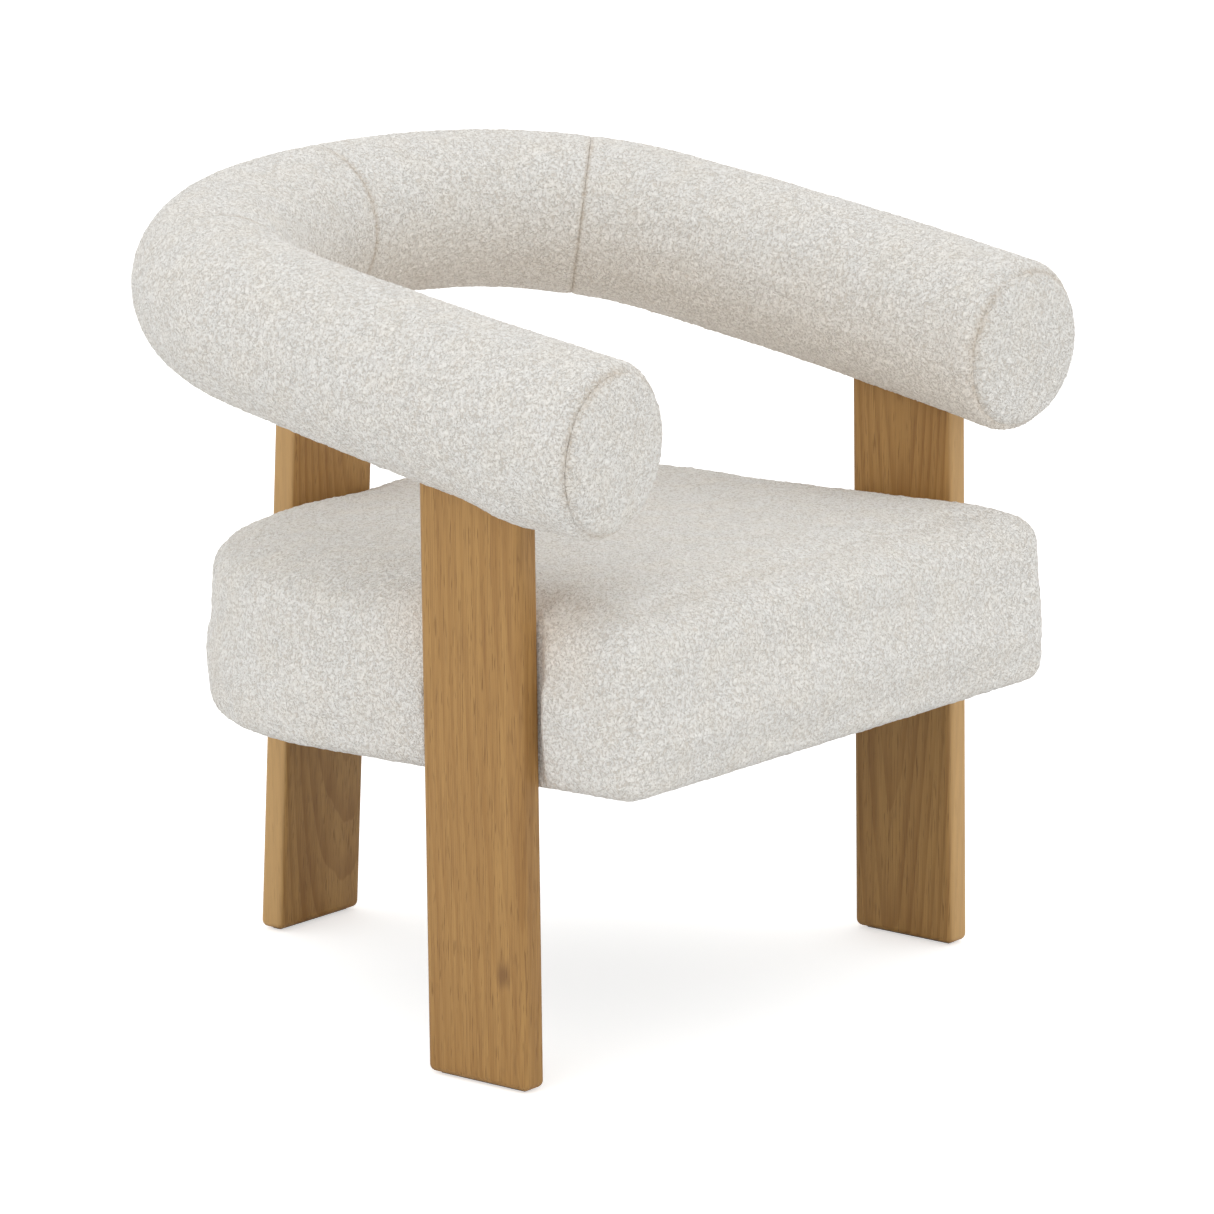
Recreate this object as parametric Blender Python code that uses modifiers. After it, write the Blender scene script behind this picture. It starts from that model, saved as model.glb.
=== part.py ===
"""An upholstered barrel armchair: a padded horseshoe rail on three plank legs, and a padded seat.

Everything is in metres. The front faces -Y, +Z is up, and the origin is on the floor under the
middle of the chair. Right and left are the sitter's own, so right is -X.
Run it with: blender --background --python part.py
"""

from math import cos, pi, radians, sin, sqrt, tan

import bmesh
import bpy
from mathutils import Matrix, Vector

# Overall sizes.
OVERALL_WIDTH = 0.750
OVERALL_DEPTH = 0.680
OVERALL_HEIGHT = 0.730

# The padded rail that makes the arms and the back.
RAIL_RADIUS_BACK = 0.0725
RAIL_RADIUS_TIP = 0.0790
RAIL_TILT = radians(9.0)
RAIL_BACK_BEND = 0.196
ARM_LENGTH = 0.412
ARM_SPLAY = radians(6.0)
ARM_TURN_IN = radians(10.0)
ARM_END_ROUNDING = 0.020
ARM_END_CROWN = 0.005
BACK_SEAM_ANGLE = radians(62.0)

# The plywood core inside the rail.
CORE_WIDTH = 0.056
CORE_LAYER = 0.012
CORE_TIP_MARGIN = 0.045
HEAD_ROOM = 0.005

# The plank legs.
LEG_WIDTH = 0.1115
LEG_THICKNESS = 0.027
LEG_EDGE_ROUNDING = 0.0065
LEG_OUTSET = 0.008
FRONT_LEG_SETBACK = 0.1565
FRONT_LEG_LEAN = radians(0.9)
BACK_LEG_LEAN = radians(2.7)
BACK_LEG_INSET = 0.013
GLIDE_THICKNESS = 0.002
GLIDE_MARGIN = 0.009

# The seat.
SEAT_FRONT_HEIGHT = 0.267
SEAT_THICKNESS = 0.161
SEAT_SLOPE = radians(1.25)
SEAT_TOP_ROUNDING = 0.046
SEAT_BOTTOM_ROUNDING = 0.016
SEAT_FRONT_CORNER = 0.020
SEAT_BACK_CORNER = 0.226
SEAT_CROWN = 0.006
LEG_RECESS = 0.0050
BACK_LEG_RECESS = 0.0090

# The timber frame and the webbing inside the seat.
FRAME_INSET = 0.020
FRAME_HEIGHT = 0.055
FRAME_THICKNESS = 0.022
CORNER_BLOCK = 0.045
WEBBING_WIDTH = 0.050
WEBBING_THICKNESS = 0.0012
LENGTHWISE_STRAPS = 5
CROSSWISE_STRAPS = 4
STRAP_LANDING = 0.005
THINNEST_WRAP = 0.004

# Fabric, fasteners and clearances.
FABRIC = 0.0028
HEM_WIDTH = 0.034
DUST_COVER_THICKNESS = 0.0008
DUST_COVER_INSET = 0.025
BOLT_RADIUS = 0.003
BOLT_HEAD_RADIUS = 0.0062
BOLT_HEAD_HEIGHT = 0.0038
BOLT_SPACING = 0.060
BOLT_IN_LEG = 0.019
SCREW_IN_LEG = 0.040
WASHER_RADIUS = 0.009
WASHER_THICKNESS = 0.0014
GAP = 0.0003
HOLE_CLEARANCE = 0.0004

# How finely round shapes are divided.
RAIL_SIDES = 20
CORNER_STEPS_FRONT = 3
CORNER_STEPS_BACK = 9
EDGE_STEPS = 3

SIDES = {"right": -1.0, "left": 1.0}


# ---------------------------------------------------------------- scene and materials


def clear_scene():
    for item in list(bpy.data.objects):
        bpy.data.objects.remove(item, do_unlink=True)


def new_collection(name, helper=False):
    collection = bpy.data.collections.new(name)
    bpy.context.scene.collection.children.link(collection)
    collection.hide_render = helper
    return collection


def new_material(name, colour, roughness, metallic=0.0):
    material = bpy.data.materials.new(name)
    material.use_nodes = True
    shader = material.node_tree.nodes["Principled BSDF"]
    shader.inputs["Base Color"].default_value = (*colour, 1.0)
    shader.inputs["Roughness"].default_value = roughness
    shader.inputs["Metallic"].default_value = metallic
    material.diffuse_color = (*colour, 1.0)
    return material


def add_object(name, data, collection, material=None, parent=None):
    item = bpy.data.objects.new(name, data)
    collection.objects.link(item)
    if material is not None:
        data.materials.append(material)
    item.parent = parent
    return item


def add_cutter(name, data, parent=None):
    item = add_object(name, data, cutters, parent=parent)
    item.hide_render = True
    item.display_type = "WIRE"
    return item


def add_datum(name, location, rotation_x):
    datum = bpy.data.objects.new(name, None)
    chair.objects.link(datum)
    datum.location = location
    datum.rotation_euler = (rotation_x, 0.0, 0.0)
    return datum


def cut(item, cutter):
    modifier = item.modifiers.new("cut " + cutter.name, "BOOLEAN")
    modifier.operation = "DIFFERENCE"
    modifier.solver = "EXACT"
    modifier.object = cutter


def bevel(item, width, segments):
    modifier = item.modifiers.new("eased edges", "BEVEL")
    modifier.width = width
    modifier.segments = segments
    modifier.limit_method = "ANGLE"
    modifier.angle_limit = radians(40.0)


# ---------------------------------------------------------------- mesh builders


def mesh_from(shape, name):
    bmesh.ops.recalc_face_normals(shape, faces=shape.faces)
    mesh = bpy.data.meshes.new(name)
    shape.to_mesh(mesh)
    shape.free()
    return mesh


def loft(name, rings, closed=False):
    """Skin a list of rings of equally many points. An open loft gets a cap at each end."""
    shape = bmesh.new()
    loops = [[shape.verts.new(point) for point in ring] for ring in rings]
    count = len(loops[0])
    pairs = list(zip(loops, loops[1:]))
    if closed:
        pairs.append((loops[-1], loops[0]))
    for first, second in pairs:
        for index in range(count):
            following = (index + 1) % count
            shape.faces.new((first[index], first[following], second[following], second[index]))
    if not closed:
        shape.faces.new(loops[0])
        shape.faces.new(loops[-1])
    return mesh_from(shape, name)


def box_mesh(name, size, centre=(0.0, 0.0, 0.0)):
    shape = bmesh.new()
    bmesh.ops.create_cube(shape, size=1.0)
    bmesh.ops.scale(shape, vec=size, verts=shape.verts)
    bmesh.ops.translate(shape, vec=centre, verts=shape.verts)
    return mesh_from(shape, name)


def rod_mesh(name, radius, low, high, sides=12):
    """A cylinder along Z from low to high."""
    shape = bmesh.new()
    bmesh.ops.create_cone(
        shape,
        cap_ends=True,
        segments=sides,
        radius1=radius,
        radius2=radius,
        depth=high - low,
        matrix=Matrix.Translation((0.0, 0.0, (low + high) / 2)),
    )
    return mesh_from(shape, name)


def prism_mesh(name, outline, low, high):
    """A flat outline drawn in XY and raised from low to high."""
    return loft(name, [[Vector((x, y, z)) for x, y in outline] for z in (low, high)])


def turned_mesh(name, profile, sides=12):
    """Turn a (radius, height) profile about Z. Its ends are closed with flat caps."""
    rings = []
    for radius, height in profile:
        turns = [2 * pi * index / sides for index in range(sides)]
        rings.append([Vector((radius * cos(a), radius * sin(a), height)) for a in turns])
    return loft(name, rings)


# ---------------------------------------------------------------- the rail's path


def rail_radius(share):
    """The padded radius a share of the way from the middle of the back to an arm's tip."""
    return RAIL_RADIUS_BACK + (RAIL_RADIUS_TIP - RAIL_RADIUS_BACK) * share


ARM_CURVE = ARM_LENGTH / ARM_TURN_IN
ARM_BULGE = ARM_CURVE * (1 - cos(ARM_SPLAY))
WIDEST_RADIUS = rail_radius(0.6)
BACK_END_ANGLE = pi / 2 - ARM_SPLAY * 0.7
BACK_HALF_SPAN = (OVERALL_WIDTH / 2 - WIDEST_RADIUS - ARM_BULGE) / sin(BACK_END_ANGLE)


def back_point(angle):
    return Vector((BACK_HALF_SPAN * sin(angle), -RAIL_BACK_BEND * (1 - cos(angle))))


def back_heading(angle):
    return Vector((BACK_HALF_SPAN * cos(angle), -RAIL_BACK_BEND * sin(angle))).normalized()


def arm_point(distance):
    """A point on the left arm's centre line, and its heading, in the rail's own plane."""
    start = back_point(BACK_END_ANGLE)
    turned = ARM_SPLAY - distance / ARM_CURVE
    across = ARM_CURVE * (cos(turned) - cos(ARM_SPLAY))
    along = ARM_CURVE * (sin(ARM_SPLAY) - sin(turned))
    return start + Vector((across, -along)), Vector((sin(turned), -cos(turned)))


def back_length():
    steps = 200
    points = [back_point(BACK_END_ANGLE * index / steps) for index in range(steps + 1)]
    return sum((b - a).length for a, b in zip(points, points[1:]))


BACK_LENGTH = back_length()
HALF_LENGTH = BACK_LENGTH + ARM_LENGTH


def back_share(angle):
    steps = 60
    points = [back_point(angle * index / steps) for index in range(steps + 1)]
    return sum((b - a).length for a, b in zip(points, points[1:])) / HALF_LENGTH


def back_station(angle):
    """Centre, heading and share at an angle round the back. A negative angle is on the right."""
    point = back_point(abs(angle))
    heading = back_heading(abs(angle))
    if angle < 0:
        point.x = -point.x
        heading.y = -heading.y
    return point, heading, back_share(abs(angle))


def arm_station(distance):
    point, heading = arm_point(distance)
    return point, heading, (BACK_LENGTH + distance) / HALF_LENGTH


def ring_at(station, across, upper, lower=None):
    """A ring round the path. With lower given, it is a box of that height range, not a circle."""
    point, heading, _ = station
    side = Vector((heading.y, -heading.x))
    ring = []
    for index in range(RAIL_SIDES):
        angle = 2 * pi * (index + 0.5) / RAIL_SIDES
        u, w = cos(angle), sin(angle)
        if lower is None:
            u, w = u * across, w * upper
        else:
            stretch = 1 / max(abs(u), abs(w))
            middle = (upper + lower) / 2
            u, w = u * stretch * across, middle + w * stretch * (upper - lower) / 2
        ring.append(Vector((point.x + side.x * u, point.y + side.y * u, w)))
    return ring


def round_ring(station, inset):
    radius = rail_radius(station[2]) - inset
    return ring_at(station, radius, radius)


def tunnel_ring(station):
    core = CORE_LAYER + 1.5 * GAP
    return ring_at(station, CORE_WIDTH / 2 + GAP, core + HEAD_ROOM, -core)


def end_ring(inset, radius_share, forward):
    """A ring on an arm's end, a distance ahead of the last full ring."""
    tip, heading = arm_point(ARM_LENGTH - ARM_END_ROUNDING)
    station = (tip + heading * forward, heading, 1.0)
    radius = (rail_radius(1.0) - inset) * radius_share
    return ring_at(station, radius, radius)


def end_rings(inset):
    """The rounded end of an arm, from its last full ring to the middle of its face."""
    full = rail_radius(1.0) - inset
    bend = ARM_END_ROUNDING - inset
    rings = []
    for index in range(1, EDGE_STEPS + 1):
        angle = pi / 2 * index / EDGE_STEPS
        share = (full - bend * (1 - cos(angle))) / full
        rings.append(end_ring(inset, share, bend * sin(angle)))
    rings.append(end_ring(inset, 0.45, bend + ARM_END_CROWN * 0.7))
    rings.append(end_ring(inset, 0.10, bend + ARM_END_CROWN))
    return rings


def mirrored(rings):
    return [[Vector((-point.x, point.y, point.z)) for point in ring] for ring in rings]


def arm_stations(first):
    """Stations of the left arm section, from its seam with the back section to its tip."""
    angles = [BACK_SEAM_ANGLE + first]
    steps = 3
    for index in range(1, steps + 1):
        angles.append(BACK_SEAM_ANGLE + (BACK_END_ANGLE - BACK_SEAM_ANGLE) * index / steps)
    straight = ARM_LENGTH - ARM_END_ROUNDING
    stations = [back_station(angle) for angle in angles]
    return stations + [arm_station(straight * share) for share in (0.25, 0.5, 0.75, 1.0)]


def half_back_stations(first, gap_angle):
    """Stations of the back's left half, from the middle to its seam with the arm."""
    steps = 4
    angles = [first] + [BACK_SEAM_ANGLE * index / steps for index in range(1, steps)]
    return [back_station(angle) for angle in angles + [BACK_SEAM_ANGLE - gap_angle]]


# ---------------------------------------------------------------- materials and datums


clear_scene()
chair = new_collection("upholstered_armchair")
cutters = new_collection("cutters", helper=True)

oak = (0.60, 0.40, 0.19)
ivory = (0.86, 0.82, 0.76)

leg_wood = new_material("honey_oak", oak, 0.45)
frame_wood = new_material("frame_timber", (0.66, 0.52, 0.34), 0.70)
plywood = new_material("plywood", (0.68, 0.54, 0.36), 0.65)
boucle = new_material("ivory_boucle", ivory, 0.95)
foam = new_material("foam", (0.90, 0.84, 0.62), 0.95)
webbing = new_material("webbing", (0.10, 0.10, 0.11), 0.80)
dust_cloth = new_material("dust_cloth", (0.06, 0.06, 0.065), 0.90)
felt = new_material("felt", (0.30, 0.27, 0.24), 0.95)
steel = new_material("zinc_steel", (0.62, 0.63, 0.65), 0.35, 1.0)

rail_back_y = OVERALL_DEPTH / 2 - RAIL_RADIUS_BACK
rail_height = OVERALL_HEIGHT - RAIL_RADIUS_BACK
seat_front_y = -OVERALL_DEPTH / 2

rail_datum = add_datum("rail_datum", (0.0, rail_back_y, rail_height), RAIL_TILT)
seat_datum = add_datum("seat_datum", (0.0, seat_front_y, SEAT_FRONT_HEIGHT), -SEAT_SLOPE)


def rail_plane_height(y):
    """The height of the rail's mid plane above a place on the floor."""
    return rail_height + (y - rail_back_y) * tan(RAIL_TILT)


# ---------------------------------------------------------------- legs


leg_top_drop = (CORE_LAYER + 1.5 * GAP) / cos(RAIL_TILT)
front_leg_y = seat_front_y + FRONT_LEG_SETBACK


def rail_x_at(y):
    """The left arm's centre line at a place along the chair, found by stepping along the arm."""
    best = None
    for index in range(201):
        point, _ = arm_point(ARM_LENGTH * index / 200)
        miss = abs(rail_back_y + point.y * cos(RAIL_TILT) - y)
        if best is None or miss < best[0]:
            best = (miss, point.x)
    return best[1]


front_leg_x = rail_x_at(front_leg_y) + LEG_OUTSET
back_leg_top_y = rail_back_y - BACK_LEG_INSET
back_leg_top = rail_plane_height(back_leg_top_y) - leg_top_drop
back_leg_foot_y = back_leg_top_y + back_leg_top * tan(BACK_LEG_LEAN)


def leg_mesh(name, size_x, size_y, foot_y, lean, grow=0.0, foot=GLIDE_THICKNESS, raise_top=0.0):
    """A plank from the floor up to the core, cut level at the foot and to the rail's tilt on top."""
    shape = bmesh.new()
    bmesh.ops.create_cube(shape, size=1.0)
    for vert in shape.verts:
        x = vert.co.x * (size_x + 2 * grow)
        y = vert.co.y * (size_y + 2 * grow)
        slope = tan(RAIL_TILT)
        if vert.co.z > 0:
            level = rail_plane_height(foot_y + y) - leg_top_drop + raise_top
            height = level / (1 + slope * tan(lean))
        else:
            height = foot
        vert.co = (x, y - height * tan(lean), height)
    return mesh_from(shape, name)


legs = {
    "leg_front_right": (-front_leg_x, front_leg_y, LEG_THICKNESS, LEG_WIDTH, -FRONT_LEG_LEAN),
    "leg_front_left": (front_leg_x, front_leg_y, LEG_THICKNESS, LEG_WIDTH, -FRONT_LEG_LEAN),
    "leg_back": (0.0, back_leg_foot_y, LEG_WIDTH, LEG_THICKNESS, BACK_LEG_LEAN),
}
leg_objects = {}
leg_cutters = {"slot": [], "cavity": [], "foam": []}
cutter_growth = {"slot": GAP, "cavity": GAP + FABRIC, "foam": 2 * GAP + FABRIC}
for leg_name, (x, y, size_x, size_y, lean) in legs.items():
    leg = add_object(leg_name, leg_mesh(leg_name, size_x, size_y, y, lean), chair, leg_wood)
    leg.location = (x, y, 0.0)
    bevel(leg, LEG_EDGE_ROUNDING, 3)
    leg_objects[leg_name] = leg
    glide_size = (size_x - 2 * GLIDE_MARGIN, size_y - 2 * GLIDE_MARGIN, GLIDE_THICKNESS - GAP)
    glide_centre = (0.0, 0.0, glide_size[2] / 2)
    glide_name = leg_name.replace("leg", "glide")
    glide = add_object(glide_name, box_mesh(glide_name, glide_size, glide_centre), chair, felt)
    glide.location = (x, y, 0.0)
    for use, grow in cutter_growth.items():
        data = leg_mesh(f"{leg_name}_{use}", size_x, size_y, y, lean, grow, 0.05, 2.5 * GAP)
        cutter = add_cutter(f"{leg_name}_{use}", data)
        cutter.location = (x, y, 0.0)
        leg_cutters[use].append(cutter)


# ---------------------------------------------------------------- seat block


def leg_face_y(height):
    """The front face of the back leg at a height."""
    return back_leg_foot_y - height * tan(BACK_LEG_LEAN) - LEG_THICKNESS / 2


seat_half_width = front_leg_x - LEG_THICKNESS / 2 + LEG_RECESS
seat_middle_height = SEAT_FRONT_HEIGHT + SEAT_THICKNESS / 2
seat_back_y = leg_face_y(seat_middle_height) + BACK_LEG_RECESS
seat_depth = (seat_back_y - seat_front_y) / cos(SEAT_SLOPE)
back_corner = min(SEAT_BACK_CORNER, seat_half_width * 0.9, seat_depth * 0.6)


def seat_outline(inset):
    """The seat's plan, counter-clockwise from the front left corner, drawn a distance inside it."""
    half = seat_half_width - inset
    front = inset
    back = seat_depth - inset
    small = max(SEAT_FRONT_CORNER - inset, 0.002)
    large = max(back_corner - inset, 0.002)
    corners = (
        (half - small, front + small, small, -90, CORNER_STEPS_FRONT),
        (half - large, back - large, large, 0, CORNER_STEPS_BACK),
        (-half + large, back - large, large, 90, CORNER_STEPS_BACK),
        (-half + small, front + small, small, 180, CORNER_STEPS_FRONT),
    )
    outline = []
    for x, y, radius, start, steps in corners:
        for index in range(steps + 1):
            angle = radians(start + 90 * index / steps)
            outline.append((x + radius * cos(angle), y + radius * sin(angle)))
    return outline


def outline_ring(inset, height):
    return [Vector((x, y, height)) for x, y in seat_outline(inset)]


def seat_rings(inset, bottom):
    """A seat block a distance inside the cover's outside, from bottom up to its crowned top."""
    rings = []
    top = SEAT_THICKNESS - inset
    turn_low = max(SEAT_BOTTOM_ROUNDING - inset, 0.003)
    turn_high = SEAT_TOP_ROUNDING - inset
    for index in range(EDGE_STEPS + 1):
        angle = pi / 2 * index / EDGE_STEPS
        rings.append(outline_ring(inset + turn_low * (1 - sin(angle)), bottom + turn_low * (1 - cos(angle))))
    for index in range(EDGE_STEPS + 2):
        angle = pi / 2 * index / (EDGE_STEPS + 1)
        side = inset + turn_high * (1 - cos(angle))
        rings.append(outline_ring(side, top - turn_high * (1 - sin(angle))))
    for share in (0.35, 0.75):
        ring = outline_ring(inset + turn_high, top)
        middle = Vector((0.0, seat_depth / 2, top + SEAT_CROWN))
        lift = SEAT_CROWN * (1 - (1 - share) ** 2)
        shrunk = [point.lerp(middle, share) for point in ring]
        for point in shrunk:
            point.z = top + lift
        rings.append(shrunk)
    return rings




def cut_all(item, use):
    for cutter in leg_cutters[use]:
        cut(item, cutter)


# ---------------------------------------------------------------- seat frame

seat_frame = Matrix.Translation((0.0, seat_front_y, SEAT_FRONT_HEIGHT)) @ Matrix.Rotation(
    -SEAT_SLOPE, 4, "X"
)
rail_frame = Matrix.Translation((0.0, rail_back_y, rail_height)) @ Matrix.Rotation(
    RAIL_TILT, 4, "X"
)
frame_low = FABRIC + GAP
frame_high = frame_low + FRAME_HEIGHT
bolt_level = frame_low + FRAME_HEIGHT / 2


def in_seat(point):
    return seat_frame.inverted() @ Vector(point)


def height_over_floor(y, level):
    """The height of a level of the seat above a place on the floor."""
    return SEAT_FRONT_HEIGHT + level / cos(SEAT_SLOPE) - (y - seat_front_y) * tan(SEAT_SLOPE)


frame_top_height = height_over_floor(seat_back_y, frame_high)
leg_face = in_seat((0.0, leg_face_y(frame_top_height), frame_top_height)).y
frame_back = min(seat_depth - FRAME_INSET, leg_face - FABRIC - 3 * GAP - THINNEST_WRAP)
frame_half = seat_half_width - FRAME_INSET
frame_corner = back_corner - FRAME_INSET
bend_start = frame_back - frame_corner


def back_arc(inset):
    """The left half of the frame's rounded back, from its side to the middle, drawn inside it."""
    radius = frame_corner - inset
    arc = []
    for index in range(CORNER_STEPS_BACK + 1):
        angle = pi / 2 * index / CORNER_STEPS_BACK
        arc.append(
            (
                frame_half - frame_corner + radius * cos(angle),
                frame_back - frame_corner + radius * sin(angle),
            )
        )
    return arc


def whole_arc(inset):
    arc = back_arc(inset)
    return arc + [(-x, y) for x, y in reversed(arc)]


def frame_piece(name, outline, low=frame_low, high=frame_high):
    return add_object(name, prism_mesh(name, outline, low, high), chair, frame_wood, seat_datum)


def rectangle(low_x, high_x, low_y, high_y):
    return [(low_x, low_y), (high_x, low_y), (high_x, high_y), (low_x, high_y)]


frame_inner = frame_half - FRAME_THICKNESS
frame_front = FRAME_INSET + FRAME_THICKNESS
front_half = frame_inner - GAP
rails = {
    "seat_rail_front": frame_piece(
        "seat_rail_front", rectangle(-front_half, front_half, FRAME_INSET, frame_front)
    ),
    "seat_rail_back": frame_piece(
        "seat_rail_back", whole_arc(0.0) + list(reversed(whole_arc(FRAME_THICKNESS)))
    ),
}
for side, sign in SIDES.items():
    across = sorted((sign * frame_inner, sign * frame_half))
    name = f"seat_rail_{side}"
    rails[name] = frame_piece(name, rectangle(*across, FRAME_INSET, bend_start - GAP))
    inner = sign * (frame_inner - GAP)
    behind = frame_front + GAP
    corner = [
        (inner, behind),
        (inner - sign * CORNER_BLOCK, behind),
        (inner, behind + CORNER_BLOCK),
    ]
    frame_piece(f"corner_block_{side}", corner, frame_low, frame_high - 0.006)


# ---------------------------------------------------------------- webbing

strap_low = frame_high + GAP
strap_high = strap_low + WEBBING_THICKNESS + GAP
strap_reach = frame_half - STRAP_LANDING
lengthwise_gap = 2 * frame_inner / LENGTHWISE_STRAPS
lengthwise_middles = [
    lengthwise_gap * (index - (LENGTHWISE_STRAPS - 1) / 2) for index in range(LENGTHWISE_STRAPS)
]


def reach_back(x):
    """How far back a strap can land on the frame at a distance from the middle."""
    radius = frame_corner - STRAP_LANDING
    beyond = max(abs(x) - (frame_half - frame_corner), 0.0)
    return bend_start + sqrt(max(radius**2 - beyond**2, 0.0))


def reach_side(y):
    """How far to the side a strap can land on the frame at a distance from the front."""
    radius = frame_corner - STRAP_LANDING
    beyond = max(y - bend_start, 0.0)
    return frame_half - frame_corner + sqrt(max(radius**2 - beyond**2, 0.0))


# The crosswise straps all lie in front of where the outermost lengthwise straps land.
outer_strap_edge = lengthwise_middles[-1] + WEBBING_WIDTH / 2
crosswise_gap = (reach_back(outer_strap_edge) - frame_front) / CROSSWISE_STRAPS
crosswise_middles = [
    frame_front + crosswise_gap * (index + 0.5) for index in range(CROSSWISE_STRAPS)
]


def strap_rings(start, end, crossings, over_first):
    """Cross-sections of a strap along its length. It goes over and under the ones it meets."""
    half = WEBBING_WIDTH / 2
    clear = half + 0.004
    levels = [(start, strap_low)]
    over = over_first
    for crossing in crossings:
        level = strap_high if over else strap_low
        levels.append((crossing - clear, level))
        levels.append((crossing + clear, level))
        over = not over
    levels.append((end, strap_low))
    rings = []
    for distance, level in levels:
        high = level + WEBBING_THICKNESS
        rings.append(((-half, distance, level), (half, distance, level), (half, distance, high), (-half, distance, high)))
    return rings


def add_strap(name, rings):
    return add_object(name, loft(name, rings), chair, webbing, seat_datum)


for number, middle in enumerate(lengthwise_middles):
    far_edge = abs(middle) + WEBBING_WIDTH / 2
    rings = strap_rings(
        FRAME_INSET + STRAP_LANDING, reach_back(far_edge), crosswise_middles, number % 2 == 0
    )
    placed = [[Vector((middle + x, y, z)) for x, y, z in ring] for ring in rings]
    add_strap(f"webbing_lengthwise_{number + 1}", placed)

for number, middle in enumerate(crosswise_middles):
    reach = reach_side(middle + WEBBING_WIDTH / 2)
    rings = strap_rings(-reach, reach, lengthwise_middles, number % 2 == 1)
    placed = [[Vector((distance, middle + across, z)) for across, distance, z in ring] for ring in rings]
    add_strap(f"webbing_crosswise_{number + 1}", placed)


# ---------------------------------------------------------------- seat foam, cover and dust cover

webbing_top = strap_high + WEBBING_THICKNESS + GAP
pocket_outline = [(x, y) for x, y in whole_arc(-GAP)]
pocket_outline += [(-frame_half - GAP, FRAME_INSET - GAP), (frame_half + GAP, FRAME_INSET - GAP)]
pocket = add_cutter(
    "frame_pocket", prism_mesh("frame_pocket", pocket_outline, -0.01, webbing_top), seat_datum
)
cavity = add_cutter("cover_cavity", loft("cover_cavity", seat_rings(FABRIC, FABRIC)), seat_datum)
cut_all(cavity, "cavity")
mouth = add_cutter(
    "cover_mouth",
    prism_mesh("cover_mouth", seat_outline(HEM_WIDTH), -0.01, FABRIC + 0.001),
    seat_datum,
)

seat_foam = add_object(
    "seat_foam",
    loft("seat_foam", seat_rings(FABRIC + GAP, FABRIC + GAP)),
    chair,
    foam,
    seat_datum,
)
cut_all(seat_foam, "foam")
cut(seat_foam, pocket)
seat_cover = add_object(
    "seat_cover", loft("seat_cover", seat_rings(0.0, 0.0)), chair, boucle, seat_datum
)
cut(seat_cover, cavity)
cut(seat_cover, mouth)
cut_all(seat_cover, "slot")
dust_cover = add_object(
    "dust_cover",
    prism_mesh("dust_cover", seat_outline(DUST_COVER_INSET), -GAP - DUST_COVER_THICKNESS, -GAP),
    chair,
    dust_cloth,
    seat_datum,
)


# ---------------------------------------------------------------- rail core, foam and cover

seam_gap = GAP / BACK_HALF_SPAN
core_length = ARM_LENGTH - CORE_TIP_MARGIN


def core_arm_stations(extra):
    """Stations inside an arm's foam, from its seam to the end of the core."""
    stations = [item for item in arm_stations(seam_gap) if item[2] * HALF_LENGTH < BACK_LENGTH + core_length]
    return stations + [arm_station(core_length + extra)]


def core_edge(stations, offset):
    return [(point.x + heading.y * offset, point.y - heading.x * offset) for point, heading, _ in stations]


arm_line = core_arm_stations(0.0)
half_back_line = half_back_stations(0.0, seam_gap)
outer_edge = core_edge(half_back_line + arm_line, -CORE_WIDTH / 2)
inner_edge = core_edge(half_back_line + arm_line, CORE_WIDTH / 2)
outer_edge = [(-x, y) for x, y in reversed(outer_edge[1:])] + outer_edge
inner_edge = [(-x, y) for x, y in reversed(inner_edge[1:])] + inner_edge
core_outline = outer_edge + list(reversed(inner_edge))
core_layers = []
for name, low in (("rail_core_lower", -CORE_LAYER - GAP / 2), ("rail_core_upper", GAP / 2)):
    data = prism_mesh(name, core_outline, low, low + CORE_LAYER)
    core_layers.append(add_object(name, data, chair, plywood, rail_datum))

foam_inset = FABRIC + GAP
arm_line_rings = arm_stations(seam_gap)
arm_foam_rings = [tunnel_ring(station) for station in reversed(core_arm_stations(GAP))]
arm_foam_rings += [round_ring(station, foam_inset) for station in arm_line_rings]
arm_foam_rings += end_rings(foam_inset)
arm_cover_rings = [round_ring(station, 0.0) for station in arm_line_rings]
arm_cover_rings += [round_ring(station, FABRIC) for station in reversed(arm_line_rings)]
arm_cap_rings = list(reversed(end_rings(0.0))) + [end_ring(0.0, 1.0, GAP)]
arm_cap_rings += [end_ring(FABRIC, 1.0, GAP)] + end_rings(FABRIC)



def across_the_back(rings):
    """Rings of the whole back, from those of its left half."""
    return [*reversed(mirrored(rings[1:])), *rings]


back_foam_outside = across_the_back([round_ring(station, foam_inset) for station in half_back_line])
back_foam_inside = across_the_back([tunnel_ring(station) for station in half_back_line])
back_foam_rings = back_foam_outside + list(reversed(back_foam_inside))
half_cover_line = half_back_stations(seam_gap, seam_gap)
back_cover_rings = [round_ring(station, 0.0) for station in half_cover_line]
back_cover_rings += [round_ring(station, FABRIC) for station in reversed(half_cover_line)]


def add_rail_piece(name, rings, material, closed):
    piece = add_object(name, loft(name, rings, closed), chair, material, rail_datum)
    return piece


rail_soft = [
    add_rail_piece("back_foam", back_foam_rings, foam, True),
]
for side, sign in SIDES.items():
    turn = mirrored if sign < 0 else list
    rail_soft.append(add_rail_piece(f"back_cover_{side}", turn(back_cover_rings), boucle, True))
    rail_soft.append(add_rail_piece(f"arm_foam_{side}", turn(arm_foam_rings), foam, False))
    rail_soft.append(add_rail_piece(f"arm_cover_{side}", turn(arm_cover_rings), boucle, True))
    add_rail_piece(f"arm_cap_{side}", turn(arm_cap_rings), boucle, False)
for piece in rail_soft:
    cut_all(piece, "slot")


# ---------------------------------------------------------------- fasteners


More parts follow.
